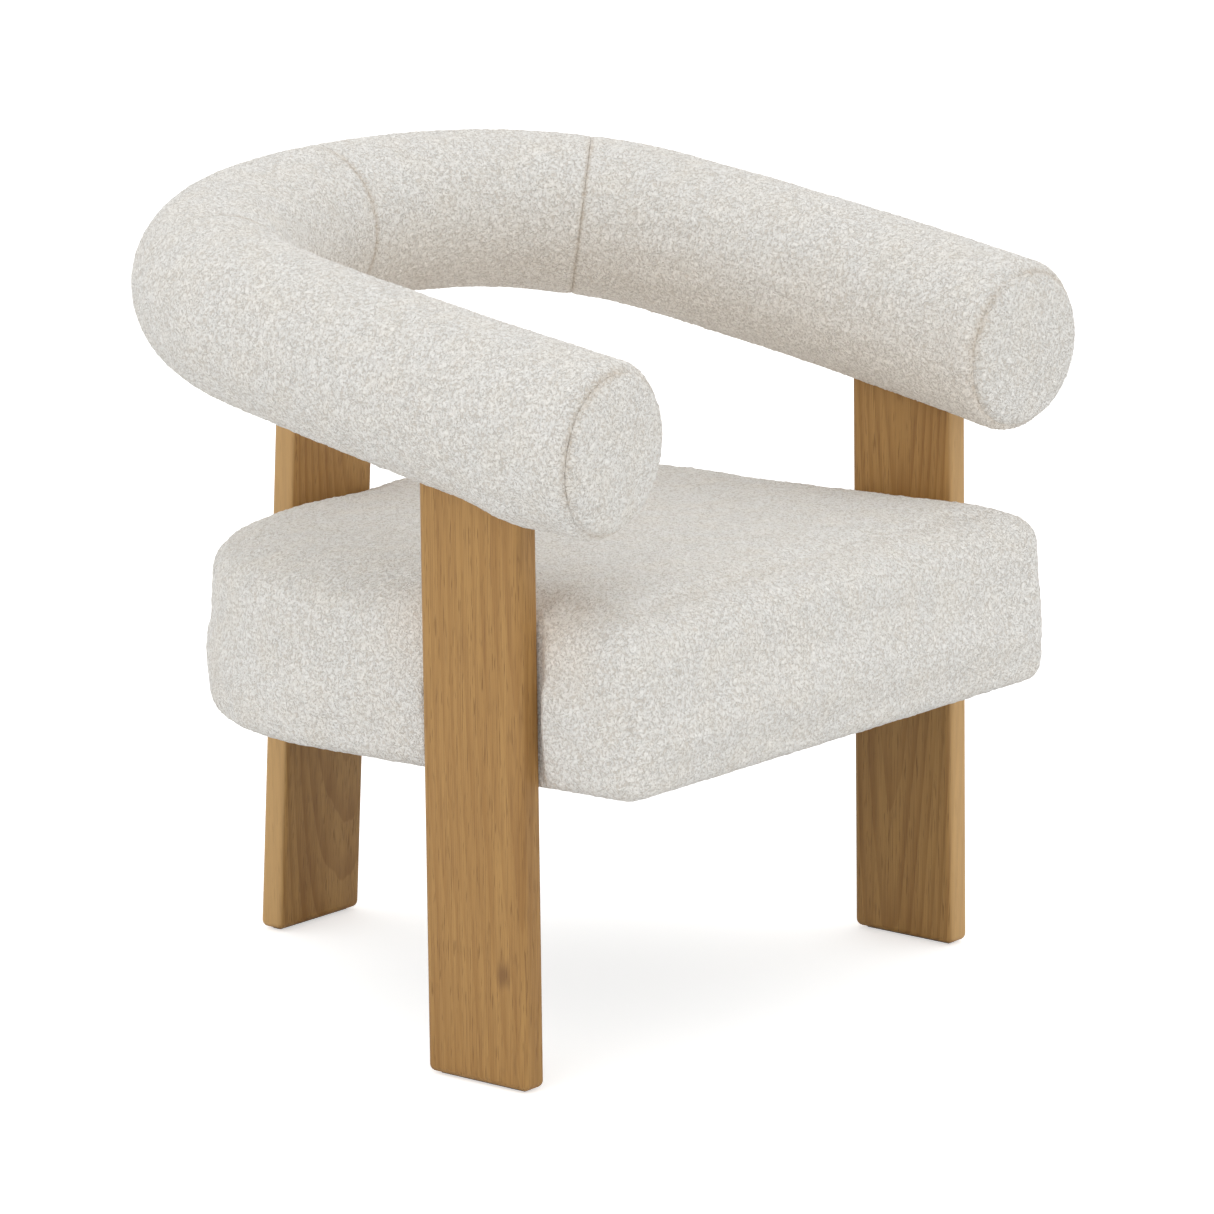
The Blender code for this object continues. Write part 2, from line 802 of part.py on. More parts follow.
def bolt_mesh(name, length):
    profile = [
        (BOLT_HEAD_RADIUS, -BOLT_HEAD_HEIGHT),
        (BOLT_HEAD_RADIUS, 0.0),
        (BOLT_RADIUS, 0.0),
        (BOLT_RADIUS, length),
    ]
    return turned_mesh(name, profile, 10)


def washer_mesh(name):
    hole = BOLT_RADIUS + HOLE_CLEARANCE
    rings = []
    for radius, height in ((WASHER_RADIUS, 0.0), (WASHER_RADIUS, 1.0), (hole, 1.0), (hole, 0.0)):
        turns = [2 * pi * index / 14 for index in range(14)]
        level = height * WASHER_THICKNESS
        rings.append([Vector((radius * cos(a), radius * sin(a), level)) for a in turns])
    return loft(name, rings, closed=True)


def add_fastener(name, mesh, location, direction, datum):
    item = add_object(name, mesh, chair, steel, datum)
    item.location = location
    item.rotation_mode = "QUATERNION"
    item.rotation_quaternion = Vector(direction).to_track_quat("Z", "Y")
    return item


def add_hole(name, location, direction, datum, length):
    data = rod_mesh(name, BOLT_RADIUS + HOLE_CLEARANCE, -0.006, length + 0.001, 10)
    hole = add_cutter(name, data, datum)
    hole.location = location
    hole.rotation_mode = "QUATERNION"
    hole.rotation_quaternion = Vector(direction).to_track_quat("Z", "Y")
    return hole


head_stand = WASHER_THICKNESS + 2 * GAP
for leg_name, (x, y, size_x, size_y, lean) in legs.items():
    leg = leg_objects[leg_name]
    place = leg_name.replace("leg_", "")
    is_back = leg_name == "leg_back"

    # Bolts from inside the seat's frame, through its foam and cover, into the leg.
    height = height_over_floor(y, bolt_level)
    middle = in_seat((x, y - height * tan(lean), height))
    if is_back:
        face = frame_back - FRAME_THICKNESS
        start = Vector((0.0, face - head_stand, bolt_level))
        direction = Vector((0.0, 1.0, 0.0))
        spread = Vector((BOLT_SPACING / 2, 0.0, 0.0))
        reach = middle.y - LEG_THICKNESS / 2 + BOLT_IN_LEG - start.y
        rail = rails["seat_rail_back"]
    else:
        sign = 1.0 if x > 0 else -1.0
        start = Vector((sign * (frame_inner - head_stand), middle.y, bolt_level))
        direction = Vector((sign, 0.0, 0.0))
        spread = Vector((0.0, BOLT_SPACING / 2, 0.0))
        reach = front_leg_x - LEG_THICKNESS / 2 + BOLT_IN_LEG - abs(start.x)
        rail = rails["seat_rail_left" if x > 0 else "seat_rail_right"]
    for number, offset in enumerate((-spread, spread), start=1):
        name = f"seat_bolt_{place}_{number}"
        add_fastener(name, bolt_mesh(name, reach), start + offset, direction, seat_datum)
        washer_place = start + offset + direction * GAP
        washer_name = f"seat_washer_{place}_{number}"
        add_fastener(washer_name, washer_mesh(washer_name), washer_place, direction, seat_datum)
        hole = add_hole(name + "_hole", start + offset, direction, seat_datum, reach)
        for item in (rail, seat_foam, seat_cover, leg):
            cut(item, hole)

    # Screws from the top of the rail's core down into the leg.
    top_height = rail_plane_height(y) - leg_top_drop
    top = rail_frame.inverted() @ Vector((x, y - top_height * tan(lean), top_height))
    core_top = CORE_LAYER + GAP / 2
    start = Vector((x, top.y, core_top + GAP))
    direction = Vector((0.0, 0.0, -1.0))
    spread = Vector((BOLT_SPACING / 2, 0.0, 0.0)) if is_back else Vector((0.0, BOLT_SPACING / 2, 0.0))
    reach = 2 * CORE_LAYER + 3 * GAP + SCREW_IN_LEG
    for number, offset in enumerate((-spread, spread), start=1):
        name = f"rail_screw_{place}_{number}"
        add_fastener(name, bolt_mesh(name, reach), start + offset, direction, rail_datum)
        hole = add_hole(name + "_hole", start + offset, direction, rail_datum, reach)
        for item in (*core_layers, leg):
            cut(item, hole)
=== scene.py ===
"""An upholstered barrel armchair round its frame: boucle padding, oak planks and a studio.

Everything is in metres. The front faces -Y, +Z is up, and right and left are the sitter's own,
so right is -X. It is laid out as an add-on and run as a script.
"""

from math import cos, exp, pi, radians, sin, sqrt

import bmesh
import bpy
import numpy as np
from bpy.props import FloatProperty, FloatVectorProperty, IntProperty, PointerProperty
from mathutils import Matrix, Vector, noise


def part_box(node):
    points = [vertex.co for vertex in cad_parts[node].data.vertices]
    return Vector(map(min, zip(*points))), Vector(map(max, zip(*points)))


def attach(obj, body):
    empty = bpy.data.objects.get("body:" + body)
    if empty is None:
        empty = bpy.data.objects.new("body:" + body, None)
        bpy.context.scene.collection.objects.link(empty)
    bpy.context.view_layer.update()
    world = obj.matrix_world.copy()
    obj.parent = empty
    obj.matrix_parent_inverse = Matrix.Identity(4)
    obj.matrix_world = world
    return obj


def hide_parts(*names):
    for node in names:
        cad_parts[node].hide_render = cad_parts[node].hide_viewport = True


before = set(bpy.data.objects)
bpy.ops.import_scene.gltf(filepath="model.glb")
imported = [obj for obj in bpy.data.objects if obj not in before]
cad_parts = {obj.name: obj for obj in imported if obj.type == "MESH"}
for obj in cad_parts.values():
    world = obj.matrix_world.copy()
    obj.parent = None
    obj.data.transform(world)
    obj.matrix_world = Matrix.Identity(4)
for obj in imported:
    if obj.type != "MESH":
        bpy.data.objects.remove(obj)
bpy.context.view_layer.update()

bl_info = {
    "name": "Barrel Armchair",
    "version": (1, 0, 0),
    "blender": (4, 5, 0),
    "location": "3D View > Sidebar > Armchair",
    "description": "Builds a boucle barrel armchair on three oak planks",
    "category": "Add Mesh",
}

# The rail's path, the same as the frame's own.
RAIL_RADIUS_BACK = 0.0725
RAIL_RADIUS_TIP = 0.0790
RAIL_TILT = radians(9.0)
RAIL_BACK_BEND = 0.196
ARM_LENGTH = 0.412
ARM_SPLAY = radians(6.0)
ARM_TURN_IN = radians(10.0)
BACK_SEAM_ANGLE = radians(62.0)
OVERALL_WIDTH = 0.750
OVERALL_DEPTH = 0.680
OVERALL_HEIGHT = 0.730
RAIL_BACK_Y = OVERALL_DEPTH / 2 - RAIL_RADIUS_BACK
RAIL_HEIGHT = OVERALL_HEIGHT - RAIL_RADIUS_BACK

# The padding on the rail. A disc is stitched in at CREASE_ANGLE round its arm's rounded rim, and
# laps the sleeve a little. A grip is how far from a seam the cloth is still held as it swells.
CREASE_ANGLE = radians(52.0)
SEAM_GAP = 0.00005
SEAM_ROW = 0.0009
SEAM_GRIP = 0.013
FAN_SHARES = (0.985, 0.8, 0.45)
DISC_OVERLAP = 0.0004
DISC_GRIP = 0.010
DISC_HOLLOW = 0.004

# The padding's lift on the back's turn, and its sag outside a front plank.
TURN_LIFT = 0.0016
TURN_SPREAD = 0.090
SAG_SPREAD = 0.034
SAG_EASE = 0.014

# The rail's seams: how deep they are drawn in, how far from one the drawing in, the painted shade
# and the lower pile reach, and how many gathers and patches of painted shade there are to a metre.
SEAM_DEPTH = 0.0002
INNER_SEAM_DEPTH = 0.0009
RIM_DEPTH = 0.0010
PULL_REACH = 0.0048
SHADE_REACH = 0.0034
PILE_REACH = 0.003
GATHER_PITCH = 130.0
SHADE_PITCH = 22.0

# The seat block, the same as the frame's own.
SEAT_FRONT_HEIGHT = 0.267
SEAT_THICKNESS = 0.161
SEAT_SLOPE = radians(1.25)
SEAT_FRONT_CORNER = 0.020
SEAT_BACK_CORNER = 0.226
SEAT_BOTTOM_ROUNDING = 0.016
SMALLEST_CORNER = 0.004

# The seat's padding: its top seam and the painted shade along it, how high it is held on its base,
# how the top falls away and the corners flare, how the planks press it and grip it as it swells,
# and how far beside them warm shade is painted on it.
TOP_SEAM_ANGLE = radians(58.0)
TOP_SEAM_DEPTH_ON_FRONT = 0.05
TOP_SEAM_PULL = 0.004
TOP_SEAM_SHADE = 0.003
BASE_HELD = 0.010
BASE_EASE = 0.030
SHOULDER_SHARE = 0.11
FLARE_DEPTH = 0.12
PLANK_MARGIN = 0.0008
PRESS_EASE = 0.012
RISE_WIDTH = 0.035
RISE_BEHIND = 0.080
GRIP_DEPTH = 0.020
GRIP_EASE = 0.015
GRIP_TOP = SEAT_FRONT_HEIGHT + SEAT_THICKNESS - 0.060
GRIP_FADE = 0.02
WARM_SHADE_REACH = 0.060
WARM_SHADE_FROM = 0.34
WARM_SHADE_RISE = 0.05

# The planks, the same as the frame's own.
LEG_LEANS = {"front_right": radians(-0.9), "front_left": radians(-0.9), "back": radians(2.7)}
FRONT_LEGS = ("front_right", "front_left")
LEG_EDGE_ROUNDING = 0.0065
LEG_SHARPEST = 0.0008
LEG_WIDTH = 0.1115
LEG_THICKNESS = 0.027

# The dust cloth under the seat.
DUST_CLOTH_INSET = 0.025
DUST_CLOTH_THICKNESS = 0.0008
DUST_CLOTH_GAP = 0.0003
DUST_CLOTH_SAG = 0.0035
DUST_CLOTH_ROWS = 26


# ---------------------------------------------------------------- settings


class RailSettings(bpy.types.PropertyGroup):
    swell: FloatProperty(
        name="Swell",
        description="How far the padding swells between its seams",
        default=0.0012,
        unit="LENGTH",
    )
    weave_step: FloatProperty(
        name="Mesh step",
        description="Spacing of the simulated cloth's threads",
        default=0.0045,
        unit="LENGTH",
    )
    end_rounding: FloatProperty(
        name="End rounding",
        description="Radius of the rim at an arm's tip",
        default=0.020,
        unit="LENGTH",
    )
    end_crown: FloatProperty(
        name="End crown",
        description="How far the disc of an arm's tip is domed before it swells",
        default=0.0060,
        unit="LENGTH",
    )
    end_lean: FloatProperty(
        name="End lean",
        description="How far an arm's end face leans back at its top",
        default=radians(5.0),
        subtype="ANGLE",
    )
    tip_lift: FloatProperty(
        name="Tip lift",
        description="How much higher the padding sits at an arm's tip than its core",
        default=0.0038,
        unit="LENGTH",
    )
    sag: FloatProperty(
        name="Sag",
        description="How far an arm's underside sags outside its plank",
        default=0.006,
        unit="LENGTH",
    )
    pucker: FloatProperty(
        name="Pucker",
        description="Depth of the gathers along the seam of an end disc",
        default=0.0007,
        unit="LENGTH",
    )


class SeatSettings(bpy.types.PropertyGroup):
    swell: FloatProperty(
        name="Swell",
        description="How far the seat's padding may swell",
        default=0.006,
        unit="LENGTH",
    )
    crown: FloatProperty(
        name="Crown",
        description="Height of the seat's middle over its edge",
        default=0.0035,
        unit="LENGTH",
    )
    shoulder: FloatProperty(
        name="Shoulder",
        description="How far the seat's top falls away towards its edge",
        default=0.007,
        unit="LENGTH",
    )
    top_rounding: FloatProperty(
        name="Top rounding",
        description="Radius of the seat's top edge",
        default=0.025,
        unit="LENGTH",
    )
    bulge: FloatProperty(
        name="Bulge",
        description="How far the seat's sides swell at half their height before the pressing",
        default=0.0060,
        unit="LENGTH",
    )
    flare: FloatProperty(
        name="Flare",
        description="How much further out the seat's front corners stand at the top",
        default=0.0055,
        unit="LENGTH",
    )
    leg_rise: FloatProperty(
        name="Rise at the planks",
        description="How much the pressed padding stands up beside and behind the front planks",
        default=0.0060,
        unit="LENGTH",
    )
    corner_ease: FloatProperty(
        name="Corner ease",
        description="How much rounder the padding's back corners are than its cover's pattern",
        default=0.012,
        unit="LENGTH",
    )
    remesh_step: FloatProperty(
        name="Mesh step",
        description="Spacing of the simulated cloth's threads",
        default=0.0068,
        unit="LENGTH",
    )
    seam_depth: FloatProperty(
        name="Seam depth",
        description="Depth of the seam round the seat's top panel",
        default=0.0007,
        unit="LENGTH",
    )


class BoucleSettings(bpy.types.PropertyGroup):
    ivory: FloatVectorProperty(
        name="Ivory",
        description="Colour of the yarn's loops",
        default=(0.975, 0.958, 0.922),
        size=3,
        subtype="COLOR",
    )
    # Painted shade: the colour the hollows between the loops are darkened towards, for the shade
    # that falls in them.
    hollow_shade: FloatVectorProperty(
        name="Hollow",
        description="Colour deep between the loops",
        default=(0.42, 0.35, 0.275),
        size=3,
        subtype="COLOR",
    )
    # Painted warm shade: the colour the yarn is tinted towards on the lower sides that face into
    # the chair and on the seat beside the front planks, for warm light bounced in there.
    warm: FloatVectorProperty(
        name="Warm side",
        description="Colour of the yarn on the sides that face into the chair",
        default=(1.0, 0.93, 0.845),
        size=3,
        subtype="COLOR",
    )
    loop_size: FloatProperty(
        name="Loop size",
        description="Distance from one loop to the next",
        default=0.0027,
        unit="LENGTH",
    )
    # How strongly the painted shade in the hollows between the loops shows.
    hollow_shade_share: FloatProperty(
        name="Hollow share",
        description="How strongly the hollows between the loops show",
        default=0.50,
        min=0.0,
        max=1.0,
        subtype="FACTOR",
    )
    loop_height: FloatProperty(
        name="Loop height",
        description="Height of the loops in the finish",
        default=0.0017,
        unit="LENGTH",
    )
    pile: FloatProperty(
        name="Pile",
        description="Height of the loops in the mesh",
        default=0.0010,
        unit="LENGTH",
    )


class OakSettings(bpy.types.PropertyGroup):
    light: FloatVectorProperty(
        name="Light wood",
        description="Colour of the pale early wood",
        default=(0.46, 0.256, 0.080),
        size=3,
        subtype="COLOR",
    )
    dark: FloatVectorProperty(
        name="Dark wood",
        description="Colour of the late wood",
        default=(0.31, 0.149, 0.038),
        size=3,
        subtype="COLOR",
    )
    ring_width: FloatProperty(
        name="Ring width",
        description="Width of one year's growth",
        default=0.0065,
        unit="LENGTH",
    )
    gloss: FloatProperty(
        name="Roughness",
        description="Roughness of the oiled surface",
        default=0.46,
        min=0.0,
        max=1.0,
        subtype="FACTOR",
    )


class StudioSettings(bpy.types.PropertyGroup):
    sky: FloatProperty(name="Sky", description="Brightness of the even light", default=1.02)
    key: FloatProperty(
        name="Key light",
        description="Strength of the soft light overhead",
        default=2.5,
        unit="POWER",
    )
    floor_glow: FloatProperty(
        name="Floor glow",
        description="How much the white floor gives back",
        default=0.55,
    )
    azimuth: FloatProperty(
        name="Azimuth",
        description="The camera's place round the chair",
        default=radians(-50.995),
        subtype="ANGLE",
    )
    elevation: FloatProperty(
        name="Elevation",
        description="The camera's height over the horizon",
        default=radians(13.270),
        subtype="ANGLE",
    )
    distance: FloatProperty(
        name="Distance",
        description="From the camera to the middle of the chair",
        default=7.117,
        unit="LENGTH",
    )
    lens: FloatProperty(
        name="Lens",
        description="Focal length in millimetres on a 36 mm sensor",
        default=235.8,
    )
    floor_size: IntProperty(
        name="Floor size",
        description="Side of the floor in metres",
        default=60,
    )


SETTINGS = {
    "armchair_rail": RailSettings,
    "armchair_seat": SeatSettings,
    "armchair_boucle": BoucleSettings,
    "armchair_oak": OakSettings,
    "armchair_studio": StudioSettings,
}


# ---------------------------------------------------------------- finishes


class Signal:
    """An output of a finish's nodes. An expression on it adds the Math nodes that work it out."""

    def __init__(self, finish, socket):
        self.finish = finish
        self.socket = socket

    def maths(self, operation, *values, clamp=False):
        settings = {"operation": operation, "use_clamp": clamp}
        return self.finish.add("ShaderNodeMath", settings, dict(enumerate(values)))

    def __add__(self, other):
        return self.maths("ADD", self, other)

    def __radd__(self, other):
        return self.maths("ADD", other, self)

    def __sub__(self, other):
        return self.maths("SUBTRACT", self, other)

    def __rsub__(self, other):
        return self.maths("SUBTRACT", other, self)

    def __mul__(self, other):
        return self.maths("MULTIPLY", self, other)

    def __rmul__(self, other):
        return self.maths("MULTIPLY", other, self)

    def __truediv__(self, other):
        return self.maths("DIVIDE", self, other)

    def __rtruediv__(self, other):
        return self.maths("DIVIDE", other, self)

    def __pow__(self, other):
        return self.maths("POWER", self, other)

    def __abs__(self):
        return self.maths("ABSOLUTE", self)

    def sine(self):
        return self.maths("SINE", self)

    def fraction(self):
        return self.maths("FRACT", self)

    def held(self):
        """The same signal, held between 0 and 1."""
        return self.maths("ADD", self, 0.0, clamp=True)

    def rise(self, low, high):
        """0 up to low, 1 from high, and a smooth rise in between."""
        settings = {"interpolation_type": "SMOOTHSTEP"}
        inputs = {"Value": self, "From Min": low, "From Max": high}
        return self.finish.add("ShaderNodeMapRange", settings, inputs)


class Finish:
    """A material that is built node by node."""

    def __init__(self, name):
        self.material = bpy.data.materials.new(name)
        self.material.use_nodes = True
        self.tree = self.material.node_tree
        self.shader = self.tree.nodes["Principled BSDF"]

    def feed(self, socket, value):
        if isinstance(value, Signal):
            self.tree.links.new(value.socket, socket)
        else:
            socket.default_value = value

    def add(self, kind, settings=None, inputs=None, output=0):
        """Any node: its settings first, then the values or signals of its sockets."""
        node = self.tree.nodes.new(kind)
        for key, value in (settings or {}).items():
            setattr(node, key, value)
        for key, value in (inputs or {}).items():
            self.feed(node.inputs[key], value)
        return Signal(self, node.outputs[output])

    def parts(self, vector):
        """The x, y and z of a vector, as three signals."""
        first = self.add("ShaderNodeSeparateXYZ", inputs={0: vector})
        return [Signal(self, output) for output in first.socket.node.outputs]

    def place(self):
        """Where a point is, in the chair's own space."""
        return self.add("ShaderNodeTexCoord", output="Object")

    def scaled(self, place, scale):
        return self.add("ShaderNodeVectorMath", {"operation": "MULTIPLY"}, {0: place, 1: scale})

    def shifted(self, place, amount, by):
        """The place, moved by a colour signal times an amount."""
        settings = {"operation": "MULTIPLY_ADD"}
        return self.add("ShaderNodeVectorMath", settings, {0: by, 1: (amount,) * 3, 2: place})

    def noise(self, place, size, detail=2.0, roughness=0.5, output="Fac"):
        inputs = {"Vector": place, "Scale": 1 / size, "Detail": detail, "Roughness": roughness}
        return self.add("ShaderNodeTexNoise", inputs=inputs, output=output)

    def cells(self, place, size, smoothness=0.4):
        settings = {"feature": "SMOOTH_F1"}
        inputs = {"Vector": place, "Scale": 1 / size, "Smoothness": smoothness}
        return self.add("ShaderNodeTexVoronoi", settings, inputs, "Distance")

    def mixed(self, first, second, factor):
        """A colour between two others."""
        inputs = {0: factor, 6: self.colour(first), 7: self.colour(second)}
        return self.add("ShaderNodeMix", {"data_type": "RGBA"}, inputs, 2)

    @staticmethod
    def colour(value):
        return value if isinstance(value, Signal) else (*value, 1.0)

    def bump(self, height, distance, strength=1.0):
        inputs = {"Height": height, "Distance": distance, "Strength": strength}
        return self.add("ShaderNodeBump", inputs=inputs)

    def surface(self, **inputs):
        """Set the shader's sockets. Spaces in their names are written as underscores."""
        for key, value in inputs.items():
            socket = self.shader.inputs[key.replace("_", " ")]
            self.feed(socket, value)
        return self.material


# The colour of the painted shade along the seams.
SEAM_SHADE = (0.56, 0.45, 0.33)
OAK_PORE = (0.165, 0.074, 0.022)
OAK_FIBRE = (0.21, 0.098, 0.030)
# The colour of the painted highlight on the planks' narrow faces.
OAK_NARROW_FACE_HIGHLIGHT = (0.66, 0.42, 0.18)
OAK_MARK = (0.15, 0.065, 0.022)
MARK_SQUASH = 0.55
# The plywood's plies lie in the rail's plane, which rises so much to a metre towards the back.
PLY_RISE = 0.158
PLY_THICKNESS = 0.0028
RIB_WIDTH = 0.0022


def boucle_finish():
    """Looped ivory yarn: round nubs with curled strands over them, and warm dark painted shade in
    the hollows.
    """
    look = bpy.context.scene.armchair_boucle
    finish = Finish("ivory_boucle")
    place = finish.place()
    drift = finish.noise(place, 0.0050, detail=2.0, output="Color")
    bent = finish.shifted(place, 0.0060, drift)
    nubs = 1 - finish.cells(bent, look.loop_size, 0.15) * 1.45
    curls = 1 - abs(finish.noise(bent, look.loop_size * 0.85, detail=1.0) * 2 - 1) * 3.4
    fibres = finish.noise(bent, look.loop_size * 0.22, detail=2.0)
    height = (nubs * 0.52 + curls * 0.30 + fibres * 0.24 - 0.04).held()
    # Painted shade in the hollows between the loops, darkest where the loops are lowest.
    hollow_shade = (1 - height).rise(0.50, 1.0)
    painted_seam_shade = finish.add("ShaderNodeAttribute", {"attribute_name": "painted_seam_shade"}, output="Fac")
    patch = finish.noise(place, 0.030, detail=2.0).rise(0.30, 0.80)
    ivory = tuple(look.ivory)
    cool = tuple(channel * share for channel, share in zip(ivory, (0.985, 0.992, 1.0)))
    warm = tuple(channel * share for channel, share in zip(ivory, (1.0, 0.99, 0.972)))
    base = finish.mixed(cool, warm, patch)
    # Painted warm shade, read from the mesh: on the lower sides that face into the chair and on the
    # seat beside the front planks.
    warm_shade = finish.add("ShaderNodeAttribute", {"attribute_name": "warm_shade"}, output="Fac")
    base = finish.mixed(base, look.warm, warm_shade * 0.8)
    base = finish.mixed(base, look.hollow_shade, hollow_shade * look.hollow_shade_share)
    # Painted shade along the seams.
    base = finish.mixed(base, SEAM_SHADE, painted_seam_shade * (1 - height * 0.5))
    normal = finish.bump(height, look.loop_height)
    return finish.surface(
        Base_Color=base,
        Roughness=0.95,
        Normal=normal,
        Specular_IOR_Level=0.2,
        Sheen_Weight=0.2,
        Sheen_Roughness=0.6,
    )


def oak_finish(name, pith, pith_lean, figure, wander, narrow_axis, narrow_face_highlight, marks):
    """Solid oak. Its rings lie round a pith line beside the plank, given as (x, y) and its lean."""
    look = bpy.context.scene.armchair_oak
    finish = Finish(name)
    place = finish.place()
    x, y, z = finish.parts(place)

    def streaks(squash, size, detail):
        """Noise that is drawn out along the plank."""
        return finish.noise(finish.scaled(place, (1.0, 1.0, squash)), size, detail)

    long_wave = streaks(0.16, 0.110, 1.0)
    fine_wave = streaks(0.05, 0.016, 2.0)
    sway = (long_wave - 0.5) * wander + (fine_wave - 0.5) * 0.0050
    across = x - pith[0] - z * pith_lean[0] + sway
    deep = y - pith[1] - z * pith_lean[1] + sway * 0.6
    distance = (across * across + deep * deep) ** 0.5
    ring = (distance / look.ring_width).fraction()
    late = ring.rise(0.30, 0.92) * (1 - ring.rise(0.94, 1.0))
    band = streaks(0.03, 0.011, 3.0)
    wide = streaks(0.06, 0.040, 2.0)
    fibre = streaks(0.014, 0.0010, 2.0)
    dashes = streaks(0.06, 0.0013, 1.0)
    pores = dashes.rise(0.58, 0.72) * (1 - ring.rise(0.30, 0.80) * 0.6)
    depth = late * figure + (band - 0.40) * 1.5 + (wide - 0.5) * 1.3
    base = finish.mixed(look.light, look.dark, depth.held())
    base = finish.mixed(base, OAK_PORE, pores * 0.55)
    base = finish.mixed(base, OAK_FIBRE, fibre.rise(0.45, 0.75) * 0.50)
    facing = finish.parts(finish.add("ShaderNodeNewGeometry", output="Normal"))
    # Painted highlight: the narrow faces made lighter, for the light that falls on them.
    narrow_lit = abs(facing[narrow_axis]).rise(0.55, 0.95)
    base = finish.mixed(base, OAK_NARROW_FACE_HIGHLIGHT, narrow_lit * narrow_face_highlight)
    for mark_x, mark_y, mark_z, radius, strength in marks:
        spot = finish.scaled(place, (1.0, 1.0, MARK_SQUASH))
        centre = (mark_x, mark_y, mark_z * MARK_SQUASH)
        settings = {"operation": "DISTANCE"}
        away = finish.add("ShaderNodeVectorMath", settings, {0: spot, 1: centre}, "Value")
        near = 1 - (away + (band - 0.5) * 0.010).rise(radius * 0.1, radius)
        base = finish.mixed(base, OAK_MARK, near * strength)
    height = late * -0.25 + pores * -1.0 + fibre * 0.25
    normal = finish.bump(height, 0.00035, 0.6)
    return finish.surface(
        Base_Color=base,
        Roughness=look.gloss + (pores * 0.2 + band * 0.08),
        Normal=normal,
        Specular_IOR_Level=0.4,
        Coat_Weight=0.06,
        Coat_Roughness=0.35,
    )


def timber_finish():
    """Plain sawn timber for the seat's hidden frame."""
    finish = Finish("sawn_timber")
    place = finish.place()
    streak = finish.noise(finish.scaled(place, (0.12, 0.12, 1.0)), 0.006, detail=4.0)
    mark = finish.noise(finish.scaled(place, (1.0, 1.0, 0.3)), 0.0012, detail=1.0)
    base = finish.mixed((0.60, 0.44, 0.26), (0.46, 0.31, 0.17), streak.rise(0.35, 0.7))
    base = finish.mixed(base, (0.35, 0.23, 0.12), mark.rise(0.6, 0.8) * 0.4)
    return finish.surface(Base_Color=base, Roughness=0.7, Normal=finish.bump(streak, 0.0004))


def plywood_finish():
    """Birch plywood, with its plies edge on."""
    finish = Finish("birch_plywood")
    place = finish.place()
    _, y, z = finish.parts(place)
    height = z - y * PLY_RISE
    ply = (height * (2 * pi / PLY_THICKNESS)).sine().rise(-0.3, 0.3)
    grain = finish.noise(finish.scaled(place, (1.0, 0.1, 1.0)), 0.004, detail=4.0)
    base = finish.mixed((0.62, 0.47, 0.30), (0.44, 0.30, 0.17), ply * 0.7)
    base = finish.mixed(base, (0.38, 0.26, 0.15), grain.rise(0.5, 0.8) * 0.4)
    return finish.surface(Base_Color=base, Roughness=0.65, Normal=finish.bump(grain, 0.0003))


def webbing_finish():
    """Woven elastic webbing with ribs along it."""
    finish = Finish("elastic_webbing")
    x, y, _ = finish.parts(finish.place())
    ribs = (x * (2 * pi / RIB_WIDTH)).sine() * (y * (2 * pi / RIB_WIDTH)).sine()
    rise = ribs.rise(-0.5, 0.5)
    base = finish.mixed((0.02, 0.02, 0.022), (0.075, 0.075, 0.08), rise)
    return finish.surface(Base_Color=base, Roughness=0.85, Normal=finish.bump(rise, 0.0004))


def felt_finish():
    """Grey pressed felt."""
    finish = Finish("grey_felt")
    fuzz = finish.noise(finish.place(), 0.0009, detail=4.0, roughness=0.7)
    base = finish.mixed((0.16, 0.14, 0.125), (0.32, 0.29, 0.26), fuzz.rise(0.3, 0.7))
    return finish.surface(Base_Color=base, Roughness=0.97, Normal=finish.bump(fuzz, 0.0006))


def steel_finish():
    """Zinc-plated steel with faint spangle."""
    finish = Finish("zinc_plated_steel")
    place = finish.place()
    spangle = finish.noise(place, 0.0025, detail=3.0)
    scuff = finish.noise(place, 0.0006, detail=2.0)
    base = finish.mixed((0.52, 0.53, 0.55), (0.70, 0.71, 0.72), spangle.rise(0.3, 0.7))
    return finish.surface(
        Base_Color=base,
        Metallic=1.0,
        Roughness=spangle * 0.2 + 0.25,
        Normal=finish.bump(scuff, 0.0001),
    )


def dust_cloth_finish():
    """Black spun cloth with the pressed dots of its bonding."""
    finish = Finish("black_dust_cloth")
    place = finish.place()
    dots = 1 - finish.cells(place, 0.0022, 0.1)
    haze = finish.noise(place, 0.006, detail=3.0)
    base = finish.mixed((0.018, 0.018, 0.02), (0.05, 0.05, 0.055), haze.rise(0.3, 0.7))
    base = finish.mixed(base, (0.085, 0.085, 0.09), dots.rise(0.75, 0.95) * 0.5)
    return finish.surface(Base_Color=base, Roughness=0.9, Normal=finish.bump(dots, 0.0003))


def finish_of(maker, name):
    """The finish of that name, made the first time it is asked for."""
    return bpy.data.materials.get(name) or maker()


# ---------------------------------------------------------------- meshes


def new_piece(name, mesh, slot, *stands_for):
    """Put a mesh in the scene as a piece of the chair that stands for some of the frame's nodes."""
    mesh.name = name
    piece = bpy.data.objects.new(name, mesh)
    bpy.context.scene.collection.objects.link(piece)
    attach(piece, "root")
    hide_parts(*stands_for)
    return piece


def mesh_of(points, faces):
    mesh = bpy.data.meshes.new("shape")
    mesh.from_pydata([tuple(point) for point in points], [], faces)
    mesh.validate()
    mesh.update()
    return mesh


def bands(rows, count):
    """Faces between one row of points and the next, all the way round, for rows of one length."""
    faces = []
    for row in range(rows - 1):
        low, high = row * count, (row + 1) * count
        for index in range(count):
            following = (index + 1) % count
            faces.append((low + index, low + following, high + following, high + index))
    return faces


